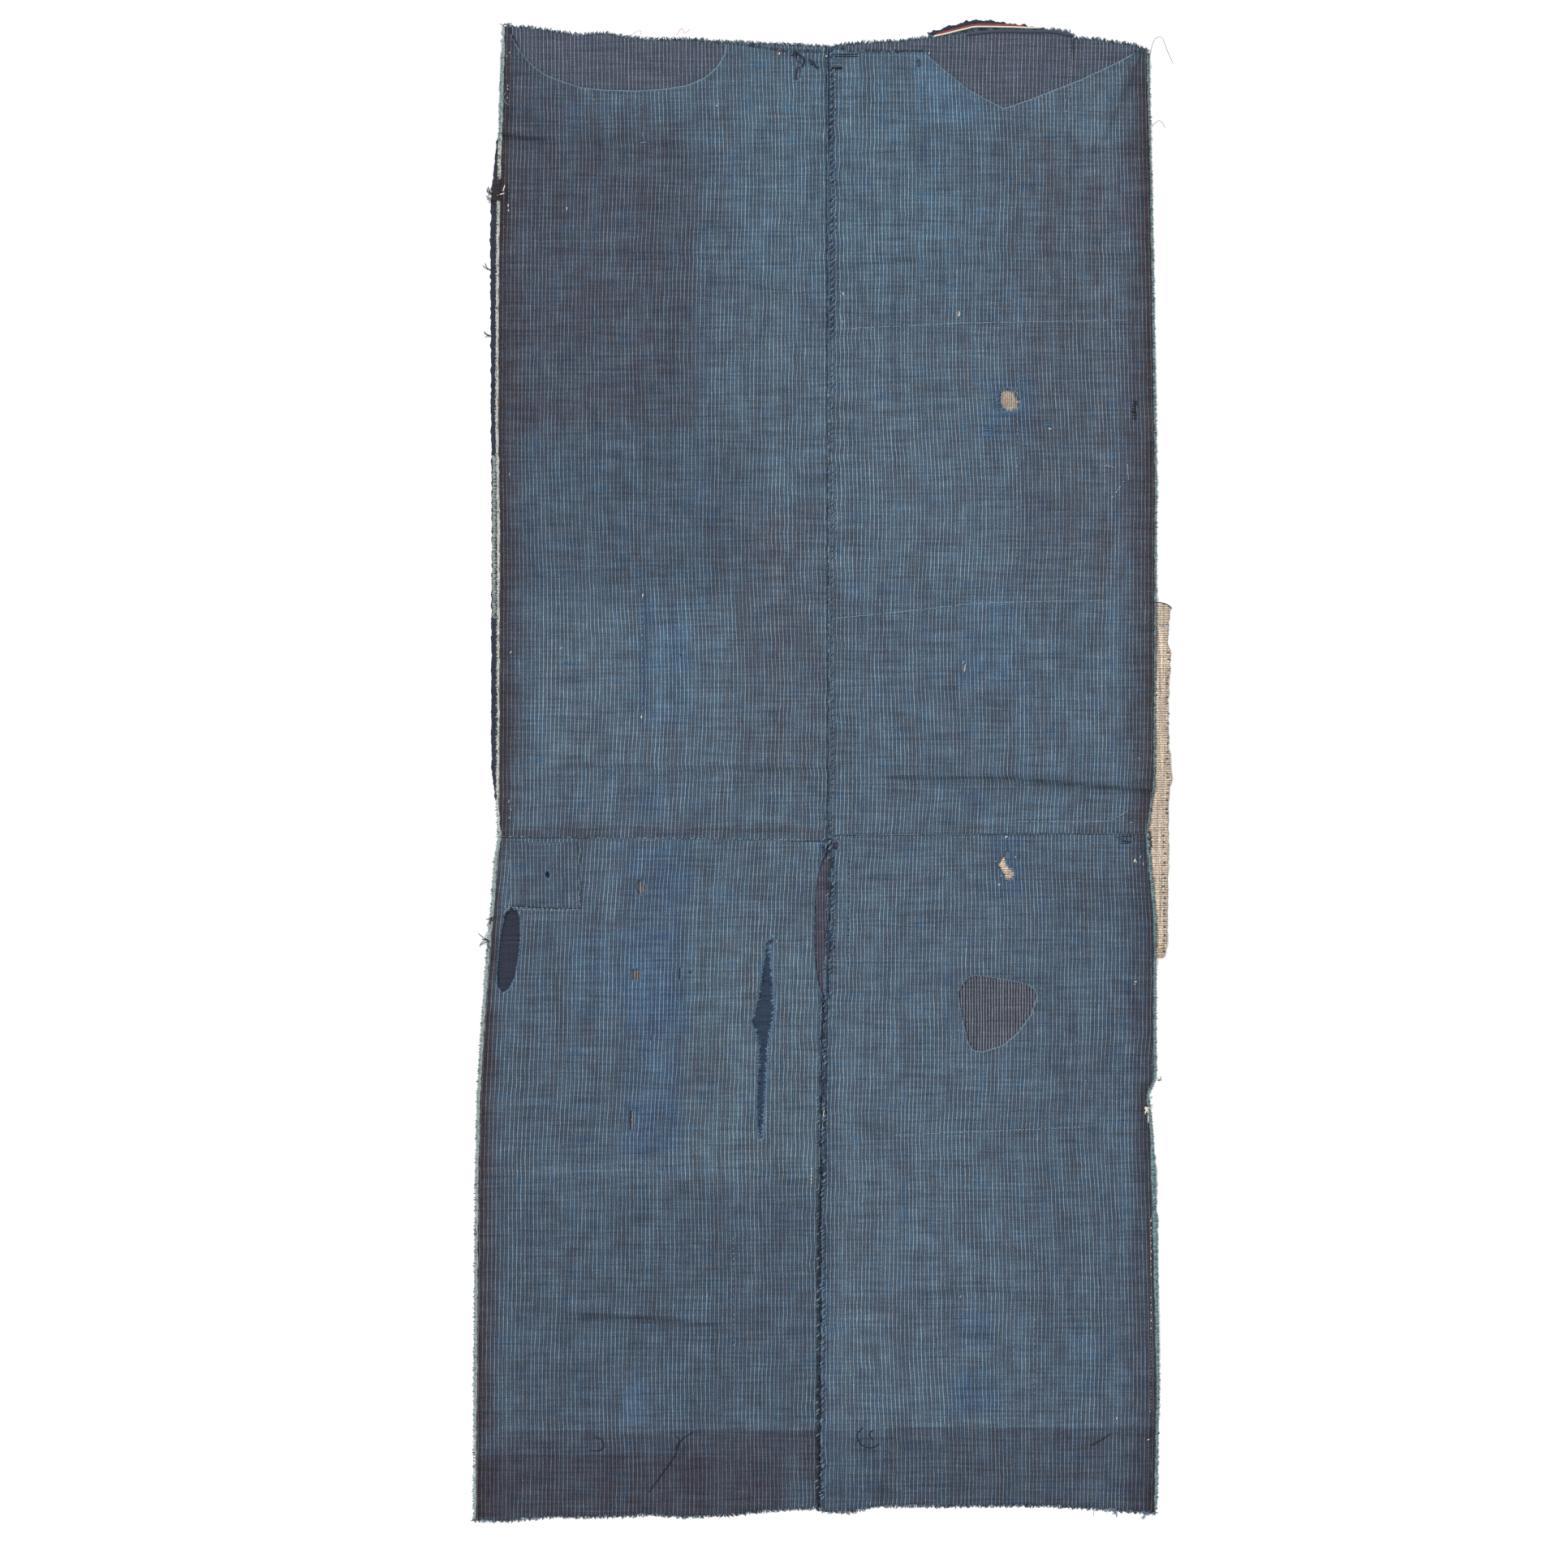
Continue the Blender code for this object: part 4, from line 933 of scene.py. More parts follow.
        return np.column_stack((across_warp + 7.0 * self.seed, along_warp, np.full(len(x), self.seed)))

    def dye(self, colour, zoned):
        """The mean colour of the cloth at each point."""
        dye = np.tile(np.array(colour), (len(self.x), 1))
        if not zoned:
            return dye
        x = self.x + 14.0 * unevenness(self.x, self.y, 40.0, 31.0)
        y = self.y + 14.0 * unevenness(self.x, self.y, 40.0, 37.0)
        for x_low, x_high, y_low, y_high, border, strength, zone in ZONES:
            sharp = min(border / 30.0, 1.0)
            zone_x = self.x + (x - self.x) * sharp
            zone_y = self.y + (y - self.y) * sharp
            share = strength * soft_box(zone_x, zone_y, (x_low, x_high, y_low, y_high), border)[:, None]
            dye = dye * (1.0 - share) + np.array(zone) * share
        return dye

    def wear(self):
        """Nearness to a worn rim, to the selvedge, and to the dark foot's border."""
        selvedge = np.full(len(self.x), FAR)
        foot = np.full(len(self.x), FAR)
        if self.is_panel:
            left, right = self.side_lines()
            selvedge = self.x - left if "left" in self.node_name else right - self.x
            foot = self.y - across(DARK_FOOT, self.x)
        return np.column_stack((self.rim, selvedge, foot))

    def shade_and_marks(self):
        """Painted shade of the creases, from -1 to 1, where below 0 it is a painted highlight, the
        selvedge's side, and how frayed a rim is.
        """
        dark = np.zeros(len(self.x))
        if self.is_panel:
            wander = unevenness(self.x, self.y, 16.0, 51.0)
            # Each crease paints shade along its fold, and a negative dark paints a highlight.
            for aside, nearness, rise, line in near_creases(self.x, self.y):
                wide = 3.0 + 5.0 * rise
                core = 0.45 * np.exp(-(((aside + wander) / 1.8) ** 2))
                near = core + 0.55 * np.exp(-((aside / wide) ** 2))
                near *= line * nearness
                dark = np.where(np.abs(near) > np.abs(dark), near, dark)
        side = np.full(len(self.x), 1.0 if "right" in self.node_name else 0.0)
        return np.column_stack((dark, side, self.frayed))

    def seams(self):
        """How far right of the middle seam and above the cross seam each point lies, and its height."""
        if not self.is_panel:
            return np.full((len(self.x), 3), FAR)
        right = self.x - across(MIDDLE_SEAM, self.y)
        above = self.y - across(CROSS_SEAM, self.x)
        return np.column_stack((right, above, self.y))

    def make(self, material, slot, settings, colour, angle=0.0, turned=False, zoned=False):
        """Build the sheet, give it its facts and finish, and let it stand for its solid."""
        top = self.heights(settings.wrinkle_height / MM)
        count = len(self.x)
        bottom = np.maximum(top - self.thick, 0.0)
        upper = np.column_stack((self.x, self.y, np.maximum(top, bottom + 0.3)))
        lower = np.column_stack((self.x, self.y, bottom))
        vertices = np.vstack((upper, lower)) * MM
        sides = {}
        for one, two, three in self.triangles.tolist():
            for side in ((one, two), (two, three), (three, one)):
                sides[side] = True
        walls = [
            (start, start + count, end + count, end)
            for start, end in sides
            if (end, start) not in sides
        ]
        over = [tuple(triangle) for triangle in self.triangles.tolist()]
        under = [(one + count, three + count, two + count) for one, two, three in over]
        mesh = bpy.data.meshes.new("woven_" + self.node_name)
        mesh.from_pydata(vertices.tolist(), [], over + under + walls)
        mesh.polygons.foreach_set("use_smooth", [True] * (len(over) * 2) + [False] * len(walls))
        facts = (
            ("cloth", "FLOAT_VECTOR", "vector", self.thread_places(angle, turned)),
            ("wear", "FLOAT_VECTOR", "vector", self.wear()),
            # The third fact carries the creases' painted shade and highlight, the selvedge's side and
            # how frayed a rim is.
            ("shade_and_marks", "FLOAT_VECTOR", "vector", self.shade_and_marks()),
            ("seams", "FLOAT_VECTOR", "vector", self.seams()),
        )
        for name, kind, field, values in facts:
            attribute = mesh.attributes.new(name, kind, "POINT")
            attribute.data.foreach_set(field, np.vstack((values, values)).ravel())
        dye = self.dye(colour, zoned)
        dye = np.column_stack((dye, np.ones(count)))
        attribute = mesh.attributes.new("dye", "FLOAT_COLOR", "POINT")
        attribute.data.foreach_set("color", np.vstack((dye, dye)).ravel())
        mesh.materials.append(material)
        piece = bpy.data.objects.new("woven_" + self.node_name, mesh)
        bpy.context.scene.collection.objects.link(piece)
        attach(piece, "root")
        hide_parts(self.node_name)


class Wiring:
    """Adds nodes to one shader tree. Each call gives the output of the node it makes."""

    def __init__(self, tree):
        self.tree = tree

    def node(self, kind, values=(), **settings):
        made = self.tree.nodes.new(kind)
        for name, setting in settings.items():
            setattr(made, name, setting)
        for socket, value in values:
            self.plug(made.inputs[socket], value)
        return made

    def plug(self, socket, value):
        if isinstance(value, bpy.types.NodeSocket):
            self.tree.links.new(value, socket)
        elif value is not None:
            socket.default_value = value

    def math(self, operation, first, second=None, third=None):
        values = [(0, first), (1, second), (2, third)]
        return self.node("ShaderNodeMath", values, operation=operation).outputs[0]

    def add(self, first, second):
        return self.math("ADD", first, second)

    def times(self, first, second):
        return self.math("MULTIPLY", first, second)

    def step(self, value, low, high, start=0.0, end=1.0):
        """A smooth step from start to end as the value goes from low to high."""
        values = [("Value", value), ("From Min", low), ("From Max", high)]
        values += [("To Min", start), ("To Max", end)]
        made = self.node("ShaderNodeMapRange", values, interpolation_type="SMOOTHSTEP")
        return made.outputs["Result"]

    def spread(self, value, start, end):
        """The value's 0 to 1 spread from start to end."""
        values = [("Value", value), ("To Min", start), ("To Max", end)]
        return self.node("ShaderNodeMapRange", values).outputs["Result"]

    def mix(self, share, first, second, blend="MIX"):
        made = self.node("ShaderNodeMix", data_type="RGBA", blend_type=blend)
        self.plug(made.inputs["Factor"], share)
        self.plug(made.inputs["A"], first)
        self.plug(made.inputs["B"], second)
        return made.outputs["Result"]

    def tint(self, colour, factor):
        """A colour made darker or lighter."""
        values = [(0, colour), ("Scale", factor)]
        return self.node("ShaderNodeVectorMath", values, operation="SCALE").outputs[0]

    def multiply(self, colour, other):
        values = [(0, colour), (1, other)]
        return self.node("ShaderNodeVectorMath", values, operation="MULTIPLY").outputs[0]

    def cloud(self, vector, scale_x, scale_y, detail=1.0):
        """Noise with its own scale across and along the warp."""
        places = self.multiply(vector, (scale_x, scale_y, 1.0))
        values = [("Vector", places), ("Scale", 1.0), ("Detail", detail)]
        return self.node("ShaderNodeTexNoise", values).outputs["Fac"]

    def group(self, group, values):
        made = self.node("ShaderNodeGroup", node_tree=group)
        for socket, value in values:
            self.plug(made.inputs[socket], value)
        return made

    def white_noise(self, number):
        """A chance from 0 to 1, the same each time for the same number."""
        made = self.node("ShaderNodeTexWhiteNoise", [("W", number)], noise_dimensions="1D")
        return made.outputs["Value"]

    def attribute(self, name, output="Vector"):
        return self.node("ShaderNodeAttribute", attribute_name=name).outputs[output]

    def parts(self, vector):
        made = self.node("ShaderNodeSeparateXYZ", [(0, vector)])
        return made.outputs["X"], made.outputs["Y"], made.outputs["Z"]


def new_group(name, inputs, outputs):
    """A shader node group with the named sockets, and its wiring, input and output nodes."""
    group = bpy.data.node_groups.new(name, "ShaderNodeTree")
    for socket, kind, default in inputs:
        made = group.interface.new_socket(socket, in_out="INPUT", socket_type=kind)
        if default is not None:
            made.default_value = default
    for socket, kind in outputs:
        group.interface.new_socket(socket, in_out="OUTPUT", socket_type=kind)
    wiring = Wiring(group)
    return group, wiring, wiring.node("NodeGroupInput"), wiring.node("NodeGroupOutput")


def stripe_group():
    """Warp stripes: a pale line in each pitch, a faint one between, and how each one varies."""
    group, wire, given, result = new_group(
        "Warp stripes",
        (
            ("Cloth", "NodeSocketVector", None),
            ("Pitch", "NodeSocketFloat", 3.8),
            ("Line width", "NodeSocketFloat", 1.2),
            ("Faint line", "NodeSocketFloat", 0.35),
            ("Wander", "NodeSocketFloat", 0.35),
        ),
        (("Line", "NodeSocketFloat"), ("Height", "NodeSocketFloat"), ("Hue", "NodeSocketFloat")),
    )
    cloth = given.outputs["Cloth"]
    pitch = given.outputs["Pitch"]
    width = given.outputs["Line width"]
    slow = wire.spread(wire.cloud(cloth, 0.25, 0.04, 2.0), -2.0, 2.0)
    quick = wire.spread(wire.cloud(cloth, 0.35, 0.15, 2.0), -0.7, 0.7)
    wander = wire.times(wire.add(slow, quick), given.outputs["Wander"])
    place, _, _ = wire.parts(cloth)
    place = wire.math("DIVIDE", wire.add(place, wander), pitch)
    number = wire.math("FLOOR", place)
    share = wire.math("FRACT", place)
    off_middle = wire.math("ABSOLUTE", wire.add(share, -0.5))
    off_line = wire.times(off_middle, pitch)
    off_faint = wire.times(wire.math("SUBTRACT", 0.5, off_middle), pitch)
    chance = wire.white_noise(number)
    hue = wire.white_noise(wire.add(number, 0.37))
    half = wire.times(width, 0.5)
    line = wire.step(off_line, wire.times(half, 0.4), wire.times(half, 1.3), 1.0, 0.0)
    faint = wire.step(off_faint, wire.times(half, 0.2), wire.times(half, 1.1), 1.0, 0.0)
    streak = wire.spread(wire.cloud(cloth, 0.9, 0.022, 3.0), 0.2, 1.8)
    crossing = wire.spread(wire.cloud(cloth, 0.7, 1.1, 2.0), 0.1, 1.9)
    streak = wire.times(streak, crossing)
    line = wire.times(wire.times(line, wire.spread(chance, 0.8, 1.15)), streak)
    faint = wire.times(wire.times(faint, given.outputs["Faint line"]), streak)
    wire.plug(result.inputs["Line"], wire.math("MAXIMUM", line, faint))
    wire.plug(result.inputs["Height"], line)
    wire.plug(result.inputs["Hue"], wire.math("MULTIPLY_ADD", hue, 0.7, wire.times(crossing, 0.15)))
    return group


def weave_group():
    """Plain weave: how light each thread is, its slubs, and its height."""
    group, wire, given, result = new_group(
        "Plain weave",
        (("Cloth", "NodeSocketVector", None), ("Thread pitch", "NodeSocketFloat", 0.62)),
        (
            ("Tone", "NodeSocketFloat"),
            ("Height", "NodeSocketFloat"),
            ("Blotch", "NodeSocketFloat"),
            ("Deep", "NodeSocketFloat"),
        ),
    )
    cloth = given.outputs["Cloth"]
    turns = wire.math("DIVIDE", 2.0 * math.pi, given.outputs["Thread pitch"])
    place, along, _ = wire.parts(cloth)
    over_warp = wire.math("SINE", wire.times(place, turns))
    over_weft = wire.math("SINE", wire.times(along, turns))
    checker = wire.times(over_warp, over_weft)
    warp_streak = wire.spread(wire.cloud(cloth, 1.7, 0.03, 2.0), 0.6, 1.4)
    weft_streak = wire.spread(wire.cloud(cloth, 0.02, 0.45, 3.0), 0.4, 1.6)
    grain = wire.spread(wire.cloud(cloth, 1.0, 0.8, 2.0), 0.1, 1.9)
    tone = wire.times(wire.times(warp_streak, weft_streak), grain)
    tone = wire.times(tone, wire.add(wire.times(checker, 0.10), 1.0))
    wire.plug(result.inputs["Tone"], tone)
    wire.plug(result.inputs["Height"], wire.add(wire.times(checker, 0.5), wire.times(grain, 0.6)))
    tall = wire.times(wire.cloud(cloth, 0.07, 0.012, 3.0), 0.42)
    wide = wire.times(wire.cloud(cloth, 0.015, 0.05, 2.0), 0.18)
    small = wire.times(wire.cloud(cloth, 0.08, 0.06, 4.0), 0.40)
    wire.plug(result.inputs["Blotch"], wire.add(wire.add(tall, wide), small))
    patch = wire.cloud(cloth, 0.07, 0.07, 5.0)
    wire.plug(result.inputs["Deep"], wire.step(patch, 0.56, 0.66))
    return group


# What the finishes multiply a colour by
UNCHANGED = (1.0, 1.0, 1.0, 1.0)
COOL_LINE = (0.94, 1.0, 1.05, 1.0)
WARM_LINE = (1.07, 1.0, 0.93, 1.0)
DIM_BLOTCH = (0.88, 0.83, 0.83, 1.0)
BRIGHT_BLOTCH = (1.06, 1.15, 1.16, 1.0)
DEEP_BLOTCH = (0.72, 0.92, 1.08, 1.0)
FOOT_FINISH = (0.75, 0.69, 0.70, 1.0)
BORDER_FINISH = (0.76, 0.62, 0.58, 1.0)

# Colours of the selvedges' specks and pale threads, and of the worn rims
SPECKS = (0.26, 0.32, 0.34, 1.0)
LEFT_FOOT_PALE = (0.23, 0.28, 0.28, 1.0)
LEFT_MIDDLE_PALE = (0.42, 0.43, 0.39, 1.0)
LEFT_HEAD_PALE = (0.25, 0.31, 0.32, 1.0)
RIGHT_PALE = (0.18, 0.28, 0.30, 1.0)
RIM_DARK = (0.030, 0.062, 0.115, 1.0)
RIM_LIGHT = (0.12, 0.19, 0.27, 1.0)
TURNED_RIM = (0.15, 0.225, 0.285)

# The heights that the left selvedge changes between, from its foot to its middle and its head
LEFT_FOOT_END = (-70.0, -50.0)
LEFT_HEAD_START = (612.0, 630.0)


def cotton(name, groups, stripes, gains, worn=False, relief=0.35, rough=1.0):
    """A striped cotton's finish, from the cloth's own places, dye and wear.

    The stripes are their pitch, the line's width and how strong the faint line is. The gains turn
    the dye into the ground's colour and the line's. Worn cloth also gets the painted shade and
    highlight of the creases and seams.
    """
    pitch, line_width, faint = stripes
    ground_gain, line_gain = gains
    material = bpy.data.materials.new(name)
    material.use_nodes = True
    wire = Wiring(material.node_tree)
    shader = material.node_tree.nodes["Principled BSDF"]
    shader.inputs["Roughness"].default_value = 0.92
    shader.inputs["Specular IOR Level"].default_value = 0.15
    cloth = wire.attribute("cloth")
    dye = wire.attribute("dye", "Color")
    values = [("Cloth", cloth), ("Pitch", pitch), ("Line width", line_width), ("Faint line", faint)]
    striped = wire.group(groups["stripes"], values)
    weave = wire.group(groups["weave"], [("Cloth", cloth)])
    warm = wire.mix(striped.outputs["Hue"], COOL_LINE, WARM_LINE)
    ground = wire.multiply(dye, ground_gain)
    line = wire.multiply(wire.multiply(dye, line_gain), warm)
    colour = wire.mix(striped.outputs["Line"], ground, line)
    colour = wire.tint(colour, wire.math("POWER", weave.outputs["Tone"], rough))
    # Worn cloth gets its blotches and its wear, and the painted shade and highlight of creases and
    # seams.
    if worn:
        blotch = wire.step(weave.outputs["Blotch"], 0.38, 0.62)
        colour = wire.multiply(colour, wire.mix(blotch, DIM_BLOTCH, BRIGHT_BLOTCH))
        deep = wire.mix(wire.times(weave.outputs["Deep"], 0.6), UNCHANGED, DEEP_BLOTCH)
        colour = wear_and_shade_colour(wire, cloth, wire.multiply(colour, deep))
    wire.plug(shader.inputs["Base Color"], colour)
    threads = wire.times(weave.outputs["Height"], 0.6)
    height = wire.add(threads, wire.times(striped.outputs["Height"], 0.8))
    values = [("Strength", relief), ("Distance", 0.00015), ("Height", height)]
    bump = wire.node("ShaderNodeBump", values)
    wire.plug(shader.inputs["Normal"], bump.outputs["Normal"])
    return material


def wear_and_shade_colour(wire, cloth, colour):
    """The colour after wear and painted light: dark foot, selvedge, painted shade and highlight along
    the creases and seams, and blue rims of worn places.
    """
    rim, selvedge, foot = wire.parts(wire.attribute("wear"))
    dark, side, frayed = wire.parts(wire.attribute("shade_and_marks"))
    # The creases' marks and the seams' share are painted shade, and below 0 a painted highlight; shade
    # and lighter apply them.
    dark = wire.add(dark, seam_dark_and_shade(wire, cloth))
    ragged = wire.cloud(cloth, 0.5, 0.5, 2.0)
    foot_share = wire.step(wire.add(foot, wire.spread(ragged, -1.0, 1.0)), -1.2, 1.2, 1.0, 0.0)
    colour = wire.multiply(colour, wire.mix(foot_share, UNCHANGED, FOOT_FINISH))
    shade = wire.step(dark, 0.0, 1.0, 1.0, 0.24)
    lighter = wire.step(dark, -1.0, 0.0, 1.5, 1.0)
    colour = wire.tint(colour, wire.times(shade, lighter))
    _, along, _ = wire.parts(cloth)
    border = wire.step(wire.add(selvedge, wire.spread(ragged, -3.0, 3.0)), 5.0, 14.0, 1.0, 0.0)
    colour = wire.multiply(colour, wire.mix(border, UNCHANGED, BORDER_FINISH))
    speck = wire.step(wire.cloud(cloth, 1.1, 0.8, 1.0), 0.66, 0.74)
    colour = wire.mix(wire.times(wire.times(speck, border), 0.55), colour, SPECKS)
    drift = wire.spread(wire.cloud(cloth, 0.3, 0.5, 2.0), -2.2, 2.2)
    slant = wire.add(wire.add(along, drift), wire.times(selvedge, 0.7))
    slant = wire.math("FRACT", wire.math("DIVIDE", slant, 2.8))
    whip = wire.step(wire.math("ABSOLUTE", wire.add(slant, -0.5)), 0.08, 0.4, 0.6, 1.05)
    whip = wire.add(wire.times(wire.add(whip, -1.0), side), 1.0)
    left_pale = wire.mix(wire.step(along, *LEFT_HEAD_START), LEFT_MIDDLE_PALE, LEFT_HEAD_PALE)
    left_pale = wire.mix(wire.step(along, *LEFT_FOOT_END), LEFT_FOOT_PALE, left_pale)
    pale = wire.mix(side, left_pale, RIGHT_PALE)
    mottle = wire.spread(wire.cloud(cloth, 0.8, 0.35, 3.0), -0.2, 2.2)
    pale = wire.tint(pale, wire.times(whip, mottle))
    wide = wire.step(along, *LEFT_FOOT_END, 3.0, 2.2)
    wide = wire.add(wide, wire.step(along, *LEFT_HEAD_START, 0.0, 0.6))
    wide = wire.add(wide, wire.times(side, -0.8))
    band = wire.add(selvedge, wire.spread(wire.cloud(cloth, 0.5, 0.12, 3.0), -1.6, 1.6))
    band = wire.step(wire.math("SUBTRACT", band, wide), -0.5, 0.5, 1.0, 0.0)
    colour = wire.mix(band, colour, pale)
    uneven = wire.spread(wire.cloud(cloth, 0.9, 0.35, 2.0), -0.7, 0.7)
    fray = wire.step(wire.add(rim, uneven), 0.45, 1.1, 1.0, 0.0)
    threads = wire.step(wire.cloud(cloth, 1.3, 0.5, 2.0), 0.42, 0.6)
    rim_blue = wire.mix(threads, RIM_DARK, RIM_LIGHT)
    turned_tone = wire.spread(wire.cloud(cloth, 0.6, 0.6, 2.0), 0.2, 1.8)
    turned_edge = wire.tint(TURNED_RIM, turned_tone)
    rim_colour = wire.mix(frayed, turned_edge, rim_blue)
    return wire.mix(wire.times(fray, 0.85), colour, rim_colour)


def seam_dark_and_shade(wire, cloth):
    """How dark the seams make the cloth, from 0 to 1: the dark line of each seam, and painted shade in
    the folds, scallops and gathers beside it.
    """
    right, above, height = wire.parts(wire.attribute("seams"))
    drift = wire.spread(wire.cloud(cloth, 0.1, 0.14, 3.0), -2.2, 2.2)
    uneven = wire.spread(wire.cloud(cloth, 0.4, 0.22, 2.0), -0.4, 2.2)
    swayed = wire.add(right, drift)

    def line(place, low, high, dark):
        gap = wire.math("ABSOLUTE", wire.math("SUBTRACT", swayed, place))
        return wire.step(gap, low, high, dark, 0.0)

    # The scallops and the fold lines beside both seams are painted shade; core is the lower seam's dark
    # line.
    wave = wire.math("ABSOLUTE", wire.math("SINE", wire.times(height, math.pi / 6.4)))
    scallop_dark = wire.step(height, 380.0, 470.0, 0.20, 0.42)
    scallops = line(wire.add(wire.times(wave, 2.8), -0.6), 0.1, 1.1, scallop_dark)
    folds = wire.math("MAXIMUM", line(-2.6, 0.1, 1.2, 0.68), line(-9.6, 0.2, 1.3, 0.22))
    upper = wire.math("MAXIMUM", scallops, folds)
    core = line(wire.step(height, -460.0, -400.0, -2.0, -0.2), 0.9, 3.4, 0.92)
    beside = line(3.6, 0.4, 2.6, wire.step(height, -420.0, -380.0, 0.12, 0.60))
    lower = wire.math("MAXIMUM", wire.math("MAXIMUM", core, beside), line(-5.0, 0.2, 1.5, 0.28))
    is_upper = wire.step(height, -70.0, -64.0)
    share = wire.times(wire.add(upper, wire.times(lower, -1.0)), is_upper)
    middle = wire.times(wire.add(lower, share), uneven)
    cross = wire.times(wire.step(wire.math("ABSOLUTE", above), 0.3, 1.3, 0.22, 0.0), uneven)
    return wire.math("MAXIMUM", middle, cross)


def thread_material():
    """Sewing thread: its own colour, with a fine twist."""
    material = bpy.data.materials.new("Sewing thread")
    material.use_nodes = True
    wire = Wiring(material.node_tree)
    shader = material.node_tree.nodes["Principled BSDF"]
    shader.inputs["Roughness"].default_value = 0.85
    places = wire.node("ShaderNodeTexCoord").outputs["Object"]
    values = [("Vector", places), ("Scale", 1400.0), ("Detail", 2.0)]
    fibre = wire.node("ShaderNodeTexNoise", values).outputs["Fac"]
    colour = wire.tint(wire.attribute("dye", "Color"), wire.spread(fibre, 0.6, 1.4))
    wire.plug(shader.inputs["Base Color"], colour)
    values = [("Strength", 0.4), ("Distance", 0.0001), ("Height", fibre)]
    bump = wire.node("ShaderNodeBump", values)
    wire.plug(shader.inputs["Normal"], bump.outputs["Normal"])
    return material


class ThreadWork:
    """Threads gathered into one piece, each a thin tube with its own colour."""

    SIDES = 5

    def __init__(self):
        self.vertices = []
        self.faces = []
        self.colours = []

    def lay(self, points, radius, colour):
        """One thread along the points."""
        line = [Vector(point) for point in points]
        first = len(self.vertices)
        last = len(line) - 1
        for index, point in enumerate(line):
            along = line[min(index + 1, last)] - line[max(index - 1, 0)]
            if along.length < 1e-6:
                along = Vector((1.0, 0.0, 0.0))
            along.normalize()
            aside = along.cross(Vector((0.0, 0.0, 1.0)))
            if aside.length < 0.05:
                aside = Vector((1.0, 0.0, 0.0))
            aside.normalize()
            up = aside.cross(along)
            size = radius * (0.4 if index in (0, last) else 1.0)
            for side in range(self.SIDES):
                angle = 2.0 * math.pi * side / self.SIDES
                self.vertices.append(point + (aside * math.cos(angle) + up * math.sin(angle)) * size)
                self.colours.append(colour)
        for index in range(last):
            start = first + index * self.SIDES
            for side in range(self.SIDES):
                following = (side + 1) % self.SIDES
                self.faces.append((
                    start + side, start + side + self.SIDES,
                    start + following + self.SIDES, start + following,
                ))
        self.faces.append(tuple(first + side for side in range(self.SIDES)))
        end = first + last * self.SIDES
        self.faces.append(tuple(end + side for side in reversed(range(self.SIDES))))

    def make(self, name, material, slot):
        """The piece that holds all the threads."""
        mesh = bpy.data.meshes.new(name)
        mesh.from_pydata([vertex * MM for vertex in self.vertices], [], self.faces)
        mesh.polygons.foreach_set("use_smooth", [True] * len(self.faces))
        attribute = mesh.attributes.new("dye", "FLOAT_COLOR", "POINT")
        colours = np.column_stack((np.array(self.colours), np.ones(len(self.colours))))
        attribute.data.foreach_set("color", colours.ravel())
        mesh.materials.append(material)
        piece = bpy.data.objects.new(name, mesh)
        bpy.context.scene.collection.objects.link(piece)
        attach(piece, "root")


class Surface:
    """The top of the cloth that is laid, for what is sewn into it."""

    def __init__(self):
        self.trees = []
        for piece in bpy.data.objects:
            if piece.name.startswith("woven_"):
                corners = [vertex.co / MM for vertex in piece.data.vertices]
                faces = [tuple(polygon.vertices) for polygon in piece.data.polygons]
                self.trees.append(BVHTree.FromPolygons(corners, faces))

    def height(self, x, y):
        """The height of the cloth at a place, or of the floor beside it."""
        best = 0.0
        for tree in self.trees:
            place, _, _, _ = tree.ray_cast((x, y, 60.0), (0.0, 0.0, -1.0))
            if place is not None:
                best = max(best, place.z)
        return best

    def place(self, x, y, above=0.0):
        return Vector((x, y, self.height(x, y) + above))


def varied(colour, rng, amount=0.25):
    """A colour a little darker or lighter than the one given."""
    factor = 1.0 + rng.uniform(-amount, amount)
    return tuple(channel * factor for channel in colour)


def stitch(work, surface, start, end, radius, colour, arch=0.5):
    """One stitch that comes up through the cloth, crosses over and goes down again."""
    middle_x = (start[0] + end[0]) / 2
    middle_y = (start[1] + end[1]) / 2
    points = [
        surface.place(*start, -0.3),
        surface.place(start[0] * 0.8 + end[0] * 0.2, start[1] * 0.8 + end[1] * 0.2, radius * 0.8),
        surface.place(middle_x, middle_y, arch),
        surface.place(start[0] * 0.2 + end[0] * 0.8, start[1] * 0.2 + end[1] * 0.8, radius * 0.8),
        surface.place(*end, -0.3),
    ]
    work.lay(points, radius, colour)


def curve_through(points, steps=5):
    """A smooth line through the points, in short steps."""
    line = []
    last = len(points) - 1
    for index in range(last):
        before, start, end, after = (
            Vector(points[min(max(index + offset, 0), last)]) for offset in (-1, 0, 1, 2)
        )
        for step in range(steps):
            share = step / steps
            bend = (before - start * 2.5 + end * 2.0 - after * 0.5) * share * share
            sway = (start * 1.5 - before * 0.5 - end * 1.5 + after * 0.5) * share ** 3
            line.append(start + (end - before) * 0.5 * share + bend + sway)
    line.append(Vector(points[-1]))
    return line


